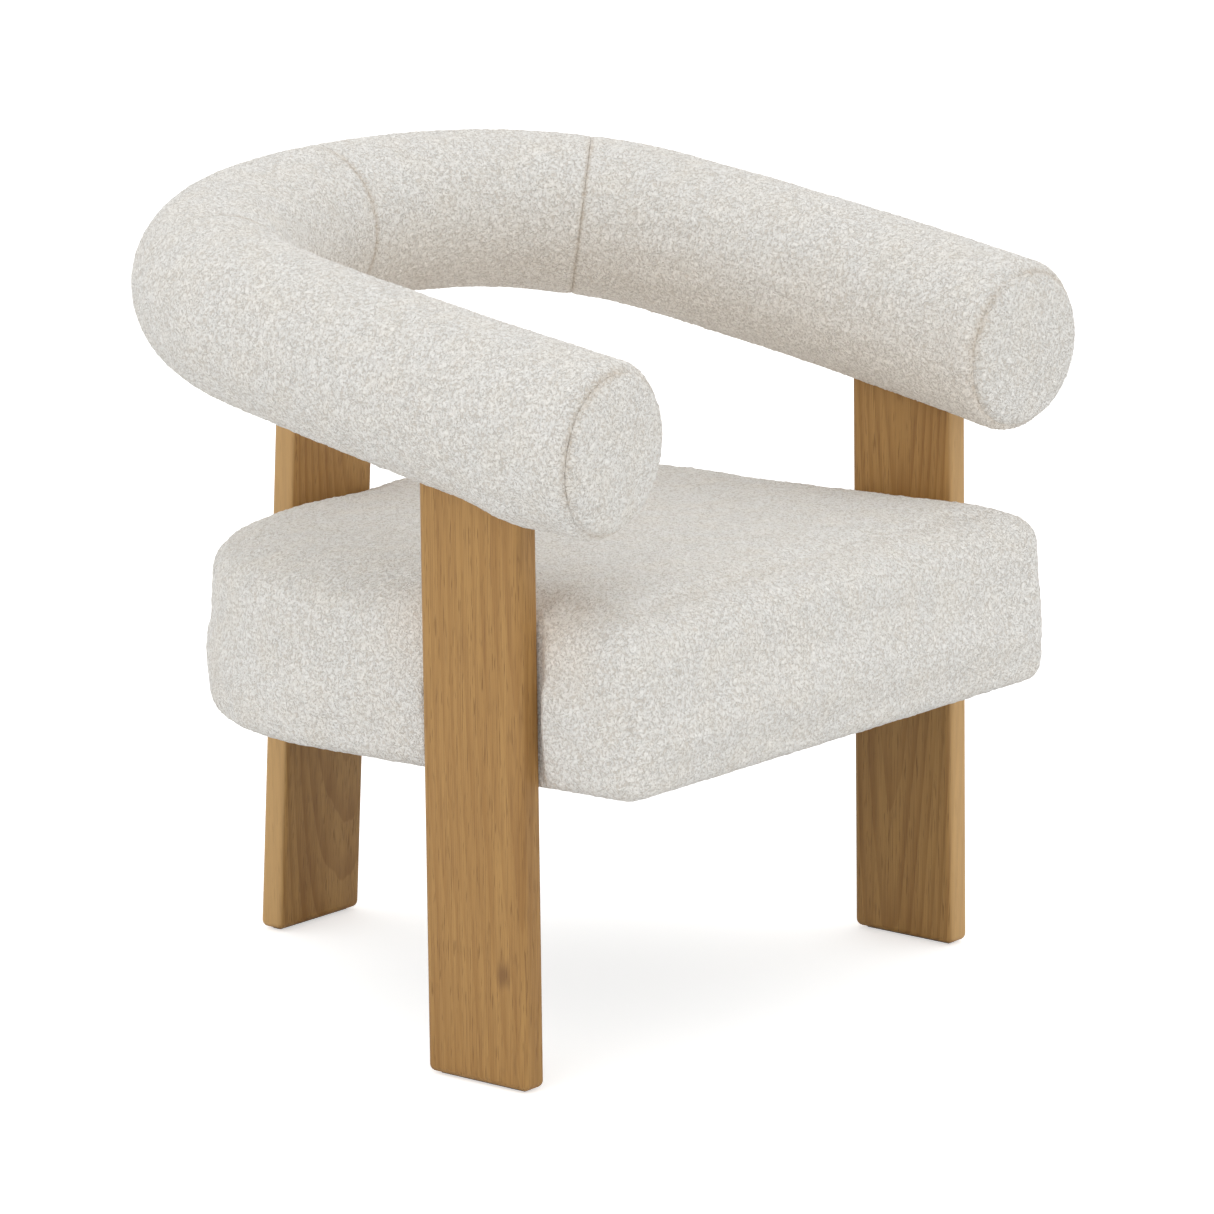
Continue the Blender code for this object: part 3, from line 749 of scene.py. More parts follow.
def closed_stack(rows):
    """A closed mesh through rows of points of one length, with a face over the first and last."""
    count = len(rows[0])
    points = [point for row in rows for point in row]
    ends = [tuple(range(count))[::-1], tuple(range(len(points) - count, len(points)))]
    return mesh_of(points, ends + bands(len(rows), count))


def points_of(mesh):
    points = np.empty(len(mesh.vertices) * 3)
    mesh.vertices.foreach_get("co", points)
    return points.reshape(-1, 3)


def normals_of(mesh):
    normals = np.empty(len(mesh.vertices) * 3)
    mesh.vertex_normals.foreach_get("vector", normals)
    return normals.reshape(-1, 3)


def set_points(mesh, points):
    mesh.vertices.foreach_set("co", np.asarray(points, np.float32).ravel())
    mesh.update()


def set_share(mesh, name, values):
    """Note a value from 0 to 1 at every point, for the finish to read."""
    attribute = mesh.attributes.new(name, "FLOAT", "POINT")
    attribute.data.foreach_set("value", np.asarray(values, np.float32))


def through_modifier(mesh, kind, **settings):
    """A mesh after one modifier."""
    carrier = bpy.data.objects.new("carrier", mesh)
    bpy.context.scene.collection.objects.link(carrier)
    modifier = carrier.modifiers.new(kind, kind)
    for key, value in settings.items():
        setattr(modifier, key, value)
    graph = bpy.context.evaluated_depsgraph_get()
    made = bpy.data.meshes.new_from_object(carrier.evaluated_get(graph))
    bpy.data.objects.remove(carrier)
    return made


def finer(mesh):
    """One round of subdivision."""
    return through_modifier(mesh, "SUBSURF", levels=1, render_levels=1)


def smooth(mesh):
    mesh.polygons.foreach_set("use_smooth", [True] * len(mesh.polygons))
    mesh.update()


CLOTH_FRAMES = 20


def simulate_swelling(mesh, pinned, pressure, limit):
    """Blow the padding up as cloth over its stuffing. Pinned gives each point's hold, 0 to 1."""
    scene = bpy.context.scene
    rest = points_of(mesh)
    carrier = bpy.data.objects.new("padding_in_press", mesh.copy())
    scene.collection.objects.link(carrier)
    group = carrier.vertex_groups.new(name="stitched")
    for index, hold in enumerate(pinned):
        if hold > 0:
            group.add([index], float(hold), "REPLACE")
    cloth = carrier.modifiers.new("cloth", "CLOTH")
    fabric = cloth.settings
    fabric.quality = 5
    fabric.mass = 0.3
    fabric.tension_stiffness = 15
    fabric.compression_stiffness = 15
    fabric.shear_stiffness = 5
    fabric.bending_stiffness = 1.5
    fabric.use_pressure = True
    fabric.uniform_pressure_force = pressure
    fabric.effector_weights.gravity = 0
    fabric.vertex_group_mass = "stitched"
    cloth.collision_settings.use_collision = False
    cloth.point_cache.frame_start = 1
    cloth.point_cache.frame_end = CLOTH_FRAMES
    for number in range(1, CLOTH_FRAMES + 1):
        scene.frame_set(number)
    graph = bpy.context.evaluated_depsgraph_get()
    blown = points_of(carrier.evaluated_get(graph).to_mesh())
    bpy.data.objects.remove(carrier)
    scene.frame_set(1)
    moved = blown - rest
    length = np.linalg.norm(moved, axis=1, keepdims=True)
    return rest + moved * np.minimum(1.0, limit / np.maximum(length, 1e-9))


def loop_pile(mesh, share):
    """Raise the yarn's loops in the mesh itself, the same way wherever a point is."""
    look = bpy.context.scene.armchair_boucle
    points = points_of(mesh)
    fine = 1 / look.loop_size
    coarse = 1 / (look.loop_size * 3.1)
    lift = [noise.noise(Vector(p) * fine) + 0.45 * noise.noise(Vector(p) * coarse) for p in points]
    set_points(mesh, points + normals_of(mesh) * (look.pile * share * np.array(lift))[:, None])


# ---------------------------------------------------------------- the rail's path


def rail_radius(share):
    """The padded radius a share of the way from the middle of the back to an arm's tip."""
    return RAIL_RADIUS_BACK + (RAIL_RADIUS_TIP - RAIL_RADIUS_BACK) * share


ARM_CURVE = ARM_LENGTH / ARM_TURN_IN
ARM_BULGE = ARM_CURVE * (1 - cos(ARM_SPLAY))
BACK_END_ANGLE = pi / 2 - ARM_SPLAY * 0.7
BACK_HALF_SPAN = (OVERALL_WIDTH / 2 - rail_radius(0.6) - ARM_BULGE) / sin(BACK_END_ANGLE)


def back_point(angle):
    return Vector((BACK_HALF_SPAN * sin(angle), -RAIL_BACK_BEND * (1 - cos(angle))))


BACK_ANGLES = np.linspace(0.0, BACK_END_ANGLE, 400)
BACK_STEPS = [(back_point(b) - back_point(a)).length for a, b in zip(BACK_ANGLES, BACK_ANGLES[1:])]
BACK_RUN = np.concatenate([[0.0], np.cumsum(BACK_STEPS)])
BACK_LENGTH = float(BACK_RUN[-1])
HALF_LENGTH = BACK_LENGTH + ARM_LENGTH
SEAM_RUN = float(np.interp(BACK_SEAM_ANGLE, BACK_ANGLES, BACK_RUN))


def station_at(run):
    """Centre and heading on the left half of the rail, a run from the middle of the back."""
    if run <= BACK_LENGTH:
        angle = float(np.interp(run, BACK_RUN, BACK_ANGLES))
        ahead = Vector((BACK_HALF_SPAN * cos(angle), -RAIL_BACK_BEND * sin(angle)))
        return back_point(angle), ahead.normalized()
    distance = run - BACK_LENGTH
    turned = ARM_SPLAY - distance / ARM_CURVE
    across = ARM_CURVE * (cos(turned) - cos(ARM_SPLAY))
    along = ARM_CURVE * (sin(ARM_SPLAY) - sin(turned))
    start = back_point(BACK_END_ANGLE)
    return start + Vector((across, -along)), Vector((sin(turned), -cos(turned)))


# The rail's and the seat's own spaces: how far each is tilted, and the y and z of its origin.
RAIL_SPACE = (RAIL_TILT, RAIL_BACK_Y, RAIL_HEIGHT)
SEAT_SPACE = (-SEAT_SLOPE, -OVERALL_DEPTH / 2, SEAT_FRONT_HEIGHT)


def out_of(space, points):
    """Points of a tilted space, in the chair's."""
    tilt, origin_y, origin_z = space
    c, s = cos(tilt), sin(tilt)
    x, y, z = np.asarray(points).T
    return np.stack([x, origin_y + y * c - z * s, origin_z + y * s + z * c], axis=1)


def into(space, points):
    """Points of the chair's space, in a tilted one."""
    tilt, origin_y, origin_z = space
    c, s = cos(tilt), sin(tilt)
    x, y, z = np.asarray(points).T
    y, z = y - origin_y, z - origin_z
    return np.stack([x, y * c + z * s, -y * s + z * c], axis=1)


def lift_at(run):
    """How far the padding is raised over the rail's line: towards a tip, and on the back's turn."""
    rail = bpy.context.scene.armchair_rail
    share = np.clip((run - SEAM_RUN) / (HALF_LENGTH - SEAM_RUN), 0.0, 1.0)
    turn = np.exp(-(((run - SEAM_RUN * 0.75) / TURN_SPREAD) ** 2))
    return rail.tip_lift * share**0.8 + TURN_LIFT * turn


def ring_round(run, radius, ahead, sides, lean=0.0):
    """A ring of points round the rail, some way ahead of a run, leaning back at its top."""
    centre, heading = station_at(run)
    turns = 2 * pi * (np.arange(sides) + 0.5) / sides
    across = np.cos(turns) * radius
    height = np.sin(turns) * radius
    forward = ahead - height * lean
    x = centre.x + heading.y * across + heading.x * forward
    y = centre.y - heading.x * across + heading.y * forward
    return np.stack([x, y, height + lift_at(run)], axis=1)


def tube_mesh(rings):
    """A closed tube through rings, with a fan over smaller and smaller rings at either end."""
    sides = len(rings[0])
    fans = []
    for end in (rings[0], rings[-1]):
        centre = end.mean(axis=0)
        fans.append([centre + (end - centre) * share for share in FAN_SHARES])
    rows = fans[0][::-1] + list(rings) + fans[1]
    points = np.concatenate(rows + [rows[0].mean(axis=0)[None], rows[-1].mean(axis=0)[None]])
    faces = bands(len(rows), sides)
    first, last = len(points) - 2, len(points) - 1
    top = (len(rows) - 1) * sides
    for index in range(sides):
        following = (index + 1) % sides
        faces.append((following, index, first))
        faces.append((top + index, top + following, last))
    return mesh_of(out_of(RAIL_SPACE, points), faces)


# ---------------------------------------------------------------- the rail's padding


def section_runs(start, end, step, close_end):
    """Even runs along the rail, with one more set close to each end that is a cut seam."""
    count = max(2, round((end - start) / step))
    runs = [start + (end - start) * index / count for index in range(count + 1)]
    near_end = [end - SEAM_ROW] if close_end else []
    return runs[:1] + [start + SEAM_ROW] + runs[1:-1] + near_end + runs[-1:]


def section_points(runs, tip):
    """Rings of a section's padding. With tip given, it ends in the rounded rim of an arm."""
    rail = bpy.context.scene.armchair_rail
    sides = round(2 * pi * rail_radius(0.6) / rail.weave_step / 2) * 2
    slack = rail.swell
    rings = []
    for run in runs:
        radius = rail_radius(run / HALF_LENGTH) - slack
        lean = rail.end_lean * max(0.0, 1 - (HALF_LENGTH - run) / 0.09) ** 2 if tip else 0.0
        rings.append(ring_round(run, radius, 0.0, sides, lean))
    if tip:
        rings += rim_rings(tip, sides, slack)
    return rings


def rim_rings(tip, sides, slack):
    """Rings round an arm's rounded rim, up to an angle of its rounding."""
    rail = bpy.context.scene.armchair_rail
    bend = rail.end_rounding
    full = rail_radius(1.0) - slack
    rings = []
    for share in (0.2, 0.4, 0.6, 0.8, 0.96, 1.0):
        angle = tip * share
        radius = full - bend * (1 - cos(angle))
        ahead = bend * sin(angle)
        rings.append(ring_round(HALF_LENGTH - bend, radius, ahead, sides, rail.end_lean))
    return rings


def pull_in_seams(mesh, away, spread, depth):
    """Draw the cloth in along a seam, given as the distance of every point from it."""
    pull = np.exp(-((away / spread) ** 2)) * depth
    set_points(mesh, points_of(mesh) - normals_of(mesh) * pull[:, None])


def nearest_station(points):
    """The run, centre and heading of the left half's line nearest to points of the rail's space."""
    runs = np.linspace(0.0, HALF_LENGTH, 900)
    stations = [station_at(run) for run in runs]
    centres = np.array([centre for centre, _ in stations])
    headings = np.array([heading for _, heading in stations])
    found = np.empty(len(points), dtype=int)
    for start in range(0, len(points), 4000):
        block = points[start : start + 4000, None, :2] - centres[None]
        found[start : start + 4000] = (block**2).sum(axis=2).argmin(axis=1)
    return runs[found], centres[found], headings[found]


def rim_place():
    """Radius of an end disc's stitched rim, and how far ahead of the arm's end face it lies."""
    bend = bpy.context.scene.armchair_rail.end_rounding
    return rail_radius(1.0) - bend * (1 - cos(CREASE_ANGLE)), bend * (sin(CREASE_ANGLE) - 1)


def from_tip(points):
    """How far points of the rail's space are from the left arm's axis and ahead of its end face."""
    rail = bpy.context.scene.armchair_rail
    centre, heading = station_at(HALF_LENGTH)
    height = points[:, 2] - lift_at(HALF_LENGTH)
    across = (points[:, 0] - centre.x) * heading.y - (points[:, 1] - centre.y) * heading.x
    ahead = (points[:, 0] - centre.x) * heading.x + (points[:, 1] - centre.y) * heading.y
    return np.sqrt(across**2 + height**2), ahead + height * rail.end_lean


def rim_distance(points):
    """How far points of the rail's space are from the stitched rim of the left arm's disc."""
    radius, ahead = from_tip(points)
    rim, rim_ahead = rim_place()
    return np.sqrt((radius - rim) ** 2 + (ahead - rim_ahead) ** 2)


def gathers(points, pitch):
    """How the cloth's gathers vary round a disc's rim, -1 to 1, so many to a metre."""
    return np.array([noise.noise(Vector(point) * pitch) for point in points])


def rail_section(runs, tip=0.0):
    """The left-hand padding of a section of the rail, blown up and with its rims drawn in."""
    rail = bpy.context.scene.armchair_rail
    rings = section_points(runs, tip)
    mesh = tube_mesh(rings)
    first, last = len(FAN_SHARES), len(FAN_SHARES) + len(rings) - 1
    row = np.arange(len(mesh.vertices)) // len(rings[0])
    row = np.minimum(row, last + len(FAN_SHARES))
    from_end = np.minimum(row - first - 1, last - 1 - row) * rail.weave_step
    hold = np.clip(1 - np.maximum(from_end, 0.0) / SEAM_GRIP, 0.0, 1.0) ** 1.5
    hold[from_end <= 0] = 1.0
    set_points(mesh, simulate_swelling(mesh, hold, 4.0, rail.swell * 1.5))
    return finer(mesh)


def end_disc(sides_across=46):
    """The domed disc that closes the left arm's tip, as a cushion with a flat back."""
    rail = bpy.context.scene.armchair_rail
    bend = rail.end_rounding
    rim, rim_ahead = rim_place()
    rim += DISC_OVERLAP
    flat = rail_radius(1.0) - bend
    centre, heading = station_at(HALF_LENGTH)
    side = Vector((heading.y, -heading.x))
    points, faces, index_of = [], [], {}
    for layer in (0, 1):
        for i in range(sides_across + 1):
            for j in range(sides_across + 1):
                edge = i in (0, sides_across) or j in (0, sides_across)
                if layer and edge:
                    index_of[layer, i, j] = index_of[0, i, j]
                    continue
                u, v = 2 * i / sides_across - 1, 2 * j / sides_across - 1
                across = u * sqrt(1 - v * v / 2) * rim
                height = v * sqrt(1 - u * u / 2) * rim
                radius = min(sqrt(across**2 + height**2), rim)
                if layer:
                    ahead = rim_ahead - DISC_HOLLOW * (1 - (radius / rim) ** 2)
                elif radius > flat:
                    ahead = sqrt(max(bend**2 - (radius - flat) ** 2, 0.0)) - bend
                else:
                    ahead = 0.0
                if not layer:
                    ahead += rail.end_crown * max(0.0, 1 - (radius / rim) ** 2.4)
                ahead -= height * rail.end_lean
                index_of[layer, i, j] = len(points)
                x = centre.x + side.x * across + heading.x * ahead
                y = centre.y + side.y * across + heading.y * ahead
                points.append((x, y, height + lift_at(HALF_LENGTH)))
    for layer in (0, 1):
        for i in range(sides_across):
            for j in range(sides_across):
                corners = ((i, j), (i + 1, j), (i + 1, j + 1), (i, j + 1))
                face = [index_of[layer, a, b] for a, b in corners]
                faces.append(tuple(face if layer else reversed(face)))
    return mesh_of(out_of(RAIL_SPACE, points), faces)


def outward(mesh):
    """Turn all of a mesh's faces outwards."""
    shape = bmesh.new()
    shape.from_mesh(mesh)
    bmesh.ops.recalc_face_normals(shape, faces=shape.faces)
    shape.to_mesh(mesh)
    shape.free()
    return mesh


def on_the_right(mesh):
    """The mirror image of a left-hand mesh."""
    copy = mesh.copy()
    points = points_of(copy)
    points[:, 0] *= -1
    set_points(copy, points)
    copy.flip_normals()
    return copy


def finish_padding(name, mesh, fill, *stands_for):
    """Put a padded mesh in the scene, covered in boucle."""
    smooth(mesh)
    piece = new_piece(name, mesh, "boucle", *stands_for)
    piece.data.materials.append(finish_of(boucle_finish, "ivory_boucle"))


def dress_pair(name, mesh, fill, *stands_for):
    """Put a left-hand mesh and its mirror image in the scene, each for its own side's nodes."""
    both = {"left": mesh, "right": on_the_right(mesh)}
    for side, shape in both.items():
        nodes = [node.format(side=side) for node in stands_for]
        finish_padding(f"{name}_{side}", shape, fill, *nodes)


def bulge_over_plank(mesh):
    """Let the left arm's underside sag outside its plank, most at the plank's front edge."""
    rail = bpy.context.scene.armchair_rail
    x, y = leg_face("front_left", 0.5)
    front = y - LEG_WIDTH / 2
    points, normals = points_of(mesh), normals_of(mesh)
    near = np.exp(-(((points[:, 1] - front) / SAG_SPREAD) ** 2))
    under = np.clip(-normals[:, 2] * 1.6 - 0.25, 0.0, 1.0)
    outside = np.clip((points[:, 0] - x) / SAG_EASE + 0.4, 0.0, 1.0)
    set_points(mesh, points + normals * (rail.sag * near * under * outside)[:, None])


class ARMCHAIR_OT_arms(bpy.types.Operator):
    """Pad the two arms, from their seams with the back to the rims of their tips"""

    bl_idname = "armchair.arms"
    bl_label = "Padded Arms"

    def execute(self, context):
        rail = context.scene.armchair_rail
        end = HALF_LENGTH - rail.end_rounding
        runs = section_runs(SEAM_RUN + SEAM_GAP, end, rail.weave_step, False)
        mesh = outward(rail_section(runs, CREASE_ANGLE))
        bulge_over_plank(mesh)
        mark_creases(mesh, [SEAM_RUN], rim=True)
        dress_pair("arm_padding", mesh, 0.95, "arm_cover_{side}", "arm_foam_{side}")
        return {"FINISHED"}


def disc_hold(points):
    """How firmly an end disc is held: fully at its rim and on its back, not at all in front."""
    points = into(RAIL_SPACE, points)
    _, ahead = from_tip(points)
    behind = ahead < rim_place()[1] - DISC_OVERLAP
    return np.where(behind, 1.0, np.clip(1 - rim_distance(points) / DISC_GRIP, 0.0, 1.0))


class ARMCHAIR_OT_arm_discs(bpy.types.Operator):
    """Close the arms' tips with domed discs, gathered along their seams"""

    bl_idname = "armchair.arm_discs"
    bl_label = "End Discs"

    def execute(self, context):
        rail = context.scene.armchair_rail
        mesh = outward(end_disc())
        hold = disc_hold(points_of(mesh))
        set_points(mesh, simulate_swelling(mesh, hold, 3.0, rail.swell))
        mesh = finer(mesh)
        mark_creases(mesh, [], rim=True)
        dress_pair("arm_end_disc", mesh, 0.95, "arm_cap_{side}")
        return {"FINISHED"}


class ARMCHAIR_OT_back(bpy.types.Operator):
    """Pad the two halves of the back, from the middle seam to the arms"""

    bl_idname = "armchair.back"
    bl_label = "Padded Back"

    def execute(self, context):
        rail = context.scene.armchair_rail
        runs = section_runs(SEAM_GAP, SEAM_RUN - SEAM_GAP, rail.weave_step, True)
        mesh = outward(rail_section(runs))
        mark_creases(mesh, [0.0, SEAM_RUN])
        dress_pair("back_padding", mesh, 0.95, "back_cover_{side}", "back_foam")
        return {"FINISHED"}


def mark_creases(mesh, seam_runs, rim=False):
    """Raise the loops, draw the cloth in at its seams and note for the finish's painted shade how
    near one is.
    """
    rail = bpy.context.scene.armchair_rail
    points = into(RAIL_SPACE, points_of(mesh))
    runs, centres, headings = nearest_station(points)
    lifts = np.array([lift_at(run) for run in runs])
    beside = np.column_stack([points[:, :2] - centres, points[:, 2] - lifts])
    along = (beside[:, :2] * headings).sum(axis=1, keepdims=True)
    beside[:, :2] -= headings * along
    radial = beside / np.maximum(np.linalg.norm(beside, axis=1, keepdims=True), 1e-6)
    facing_in = headings[:, 1] * radial[:, 0] - headings[:, 0] * radial[:, 1]
    inner = np.clip(facing_in * 1.4 + 0.45, 0.0, 1.0)
    # Painted warm shade on the lower sides of the back and arms that face into the chair.
    if seam_runs:
        set_share(mesh, "warm_shade", inner * np.clip(0.55 - radial[:, 2], 0.0, 1.0))
    nearest = np.full(len(points), 1.0)
    for run in seam_runs:
        nearest = np.minimum(nearest, np.abs(runs - run))
    inward = -radial
    depth = SEAM_DEPTH + INNER_SEAM_DEPTH * inner
    if rim:
        to_rim = rim_distance(points)
        on_rim = to_rim < nearest
        turned = radial * cos(CREASE_ANGLE)
        turned[:, :2] += headings * sin(CREASE_ANGLE)
        inward = np.where(on_rim[:, None], -turned, inward)
        gathered = gathers(points, GATHER_PITCH)
        depth = np.where(on_rim, RIM_DEPTH + rail.pucker * (0.8 + gathered), depth)
        patchy = np.clip(0.65 + 0.8 * gathers(points, SHADE_PITCH), 0.0, 1.0)
        inner = np.where(on_rim, patchy, inner)
        nearest = np.minimum(nearest, to_rim * 0.8)
    loop_pile(mesh, np.clip(nearest / PILE_REACH, 0.0, 1.0))
    pull = np.exp(-((nearest / PULL_REACH) ** 2)) * depth
    moved = out_of(RAIL_SPACE, inward * pull[:, None]) - out_of(RAIL_SPACE, np.zeros((1, 3)))
    set_points(mesh, points_of(mesh) + moved)
    # Painted shade along the seams, stronger on the sides that face into the chair and in patches
    # round a disc's rim.
    set_share(mesh, "painted_seam_shade", np.exp(-((nearest / SHADE_REACH) ** 2)) * (0.02 + 0.52 * inner))


# ---------------------------------------------------------------- the seat


def seat_plan():
    """Half width and depth of the seat block, from the frame's own cover."""
    low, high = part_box("seat_cover")
    return high.x, (high.y - low.y) / cos(SEAT_SLOPE)


def seat_outline(inset):
    """The seat's plan, a distance inside its widest line, with evenly laid points."""
    seat = bpy.context.scene.armchair_seat
    half_width, depth = seat_plan()
    half, front, back = half_width - inset, inset, depth - inset
    small = max(SEAT_FRONT_CORNER - inset, SMALLEST_CORNER)
    large = max(SEAT_BACK_CORNER + seat.corner_ease - inset, SMALLEST_CORNER)
    corners = (
        (half - small, front + small, small, -90, 8),
        (half - large, back - large, large, 0, 40),
        (-half + large, back - large, large, 90, 40),
        (-half + small, front + small, small, 180, 8),
    )
    outline = []
    for x, y, radius, start, steps in corners:
        for index in range(steps + 1):
            angle = radians(start + 90 * index / steps)
            outline.append((x + radius * cos(angle), y + radius * sin(angle)))
    return outline


def seat_block():
    """A closed block with swollen sides, rounded edges and a crowned top."""
    seat = bpy.context.scene.armchair_seat
    _, depth = seat_plan()
    top = SEAT_THICKNESS - seat.shoulder
    rings = []
    steps = 12
    for index in range(steps + 1):
        angle = pi / 2 * index / steps
        inset = SEAT_BOTTOM_ROUNDING * (1 - sin(angle))
        rings.append((inset, SEAT_BOTTOM_ROUNDING * (1 - cos(angle))))
    straight = top - seat.top_rounding - SEAT_BOTTOM_ROUNDING
    for share in (0.3, 0.5, 0.7):
        rings.append((0.0, SEAT_BOTTOM_ROUNDING + straight * share))
    for index in range(steps + 1):
        angle = pi / 2 * index / steps
        inset = seat.top_rounding * (1 - cos(angle))
        rings.append((inset, top - seat.top_rounding * (1 - sin(angle))))
    rows = []
    for inset, height in rings:
        bulge = seat.bulge * max(sin(pi * min(height / top, 1.0)), 0.0) ** 0.6
        flare = seat.flare * min(height / top, 1.0) ** 1.5
        row = []
        for x, y in seat_outline(inset - bulge):
            row.append((x + np.sign(x) * flare * max(0.0, 1 - y / FLARE_DEPTH), y, height))
        rows.append(row)
    rim = rows[-1]
    for share in (0.03, 0.06, 0.1, 0.15, 0.2, 0.3, 0.45, 0.6, 0.75, 0.9):
        level = top + seat.crown * (1 - (1 - share) ** 2)
        level += seat.shoulder * (1 - exp(-share / SHOULDER_SHARE))
        rows.append([(x - x * share, y + (depth / 2 - y) * share, level) for x, y, _ in rim])
    return closed_stack(rows)


def leg_face(place, height):
    """A plank's centre at some heights, by its lean."""
    low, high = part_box(f"glide_{place}")
    x, y = (low.x + high.x) / 2, (low.y + high.y) / 2
    return x, y - height * np.tan(LEG_LEANS[place])


def press_share(along, ease):
    """1 inside a plank's width, easing off to 0 over a short way beyond its edges."""
    share = np.clip(1 - along / ease, 0.0, 1.0)
    return share * share * (3 - 2 * share)


def press_on_legs(points, margin):
    """Keep the seat's padding clear of the planks that stand against it."""
    rise = bpy.context.scene.armchair_seat.leg_rise
    points = points.copy()
    for place in FRONT_LEGS:
        x, y = leg_face(place, points[:, 2])
        sign = 1.0 if x > 0 else -1.0
        inner = abs(x) - LEG_THICKNESS / 2 - margin
        beyond = points[:, 0] * sign - inner
        along = np.abs(points[:, 1] - y) - LEG_WIDTH / 2
        points[:, 0] -= sign * np.maximum(beyond, 0.0) * press_share(along, PRESS_EASE)
        behind = points[:, 1] - y - LEG_WIDTH / 2
        spread = np.where(behind > 0, behind / RISE_BEHIND, np.maximum(along, 0.0) / PRESS_EASE)
        beside = np.exp(-((np.minimum(beyond, 0.0) / RISE_WIDTH) ** 2) - spread**2)
        level = (points[:, 2] - SEAT_FRONT_HEIGHT) / SEAT_THICKNESS
        points[:, 2] += rise * beside * np.clip(level * 3 - 2, 0.0, 1.0)
    x, y = leg_face("back", points[:, 2])
    beyond = points[:, 1] - (y - LEG_THICKNESS / 2 - margin)
    along = np.abs(points[:, 0] - x) - LEG_WIDTH / 2
    points[:, 1] -= np.maximum(beyond, 0.0) * press_share(along, PRESS_EASE * 2)
    return points


class ARMCHAIR_OT_seat(bpy.types.Operator):
    """Pad the seat block, press it between the planks and sew its top seam"""

    bl_idname = "armchair.seat"
    bl_label = "Seat Cushion"

    def execute(self, context):
        seat = context.scene.armchair_seat
        mesh = through_modifier(seat_block(), "REMESH", mode="VOXEL", voxel_size=seat.remesh_step)
        points = points_of(mesh)
        base = np.clip(1 - (points[:, 2] - BASE_HELD) / BASE_EASE, 0.0, 1.0)
        hold = np.maximum(base, leg_hold(out_of(SEAT_SPACE, points)))
        set_points(mesh, simulate_swelling(mesh, hold, 4.0, seat.swell))
        mesh = finer(mesh)
        set_points(mesh, out_of(SEAT_SPACE, points_of(mesh)))
        away = seam_distance(mesh)
        pull_in_seams(mesh, away, TOP_SEAM_PULL, seat.seam_depth)
        loop_pile(mesh, 1.0)
        set_points(mesh, press_on_legs(points_of(mesh), PLANK_MARGIN))
        # Painted warm shade on the seat's top beside the front planks.
        set_share(mesh, "warm_shade", leg_shade(points_of(mesh)))
        # Painted shade along the seat's top seam.
        set_share(mesh, "painted_seam_shade", np.exp(-((away / TOP_SEAM_SHADE) ** 2)) * 0.12)
        finish_padding("seat_cushion", mesh, 0.9, "seat_cover", "seat_foam")
        return {"FINISHED"}


def leg_hold(points):
    """How firmly the planks hold the seat's cloth, 0 to 1."""
    hold = np.zeros(len(points))
    for place in FRONT_LEGS:
        x, y = leg_face(place, points[:, 2])
        sign = 1.0 if x > 0 else -1.0
        short = abs(x) - GRIP_DEPTH - points[:, 0] * sign
        near = np.clip(1 - short / GRIP_EASE, 0.0, 1.0)
        near *= np.clip((GRIP_TOP - points[:, 2]) / GRIP_FADE, 0.0, 1.0)
        beyond = np.abs(points[:, 1] - y) - LEG_WIDTH / 2
        along = np.clip(1 - (beyond + PRESS_EASE / 2) / PRESS_EASE, 0.0, 1.0)
        hold = np.maximum(hold, near * along)
    return hold


def leg_shade(points):
    """How near each point of the seat's top is to a front plank, 0 to 1: the share of painted warm
    shade there.
    """
    shade = np.zeros(len(points))
    for place in FRONT_LEGS:
        x, y = leg_face(place, points[:, 2])
        beside = np.maximum(np.abs(points[:, 1] - y) - LEG_WIDTH / 2, 0.0)
        away = np.sqrt((points[:, 0] - x) ** 2 + beside**2)
        shade = np.maximum(shade, np.clip(1.3 - away / WARM_SHADE_REACH, 0.0, 1.0))
    return shade * np.clip((points[:, 2] - WARM_SHADE_FROM) / WARM_SHADE_RISE, 0.0, 1.0)


def seam_distance(mesh):
    """How far each point is from the seam along the front of the seat's top panel."""
    points = into(SEAT_SPACE, points_of(mesh))
    seat = bpy.context.scene.armchair_seat
    level = SEAT_THICKNESS - seat.top_rounding * (1 - sin(TOP_SEAM_ANGLE))
    front = points[:, 1] < TOP_SEAM_DEPTH_ON_FRONT
    return np.where(front, np.abs(points[:, 2] - level), 1.0)


# ---------------------------------------------------------------- the planks


def plank_mesh(place):
    """A plank with softly rounded edges, cut level at the foot and to the rail's tilt on top."""
    low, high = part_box(f"leg_{place}")
    centre_x, centre_y = leg_face(place, 0.0)
    across = (LEG_WIDTH, LEG_THICKNESS) if place == "back" else (LEG_THICKNESS, LEG_WIDTH)
    lean = np.tan(LEG_LEANS[place])
    rounding = LEG_EDGE_ROUNDING
    foot = low.z
    top_slope = np.tan(RAIL_TILT)
    rings = []
    for index in range(7):
        angle = pi / 2 * index / 6
        rings.append((rounding * (1 - sin(angle)), foot + rounding * (1 - cos(angle)), 0.0))
    for index in range(1, 25):
        rings.append((0.0, foot + rounding + (high.z - foot - rounding) * index / 24, index / 24))
    rows = []
    for inset, level, share in rings:
        row = []
        for sign_x, sign_y, start in ((1, 1, 0), (-1, 1, 90), (-1, -1, 180), (1, -1, 270)):
            radius = max(rounding - inset, LEG_SHARPEST)
            corner_x = sign_x * (across[0] / 2 - inset - radius)
            corner_y = sign_y * (across[1] / 2 - inset - radius)
            for step in range(9):
                turn = radians(start + 90 * step / 8)
                x, y = corner_x + radius * cos(turn), corner_y + radius * sin(turn)
                z = level - (across[1] / 2 - y) * top_slope * share
                row.append((centre_x + x, centre_y + y - z * lean, z))
        rows.append(row)
    return closed_stack(rows)


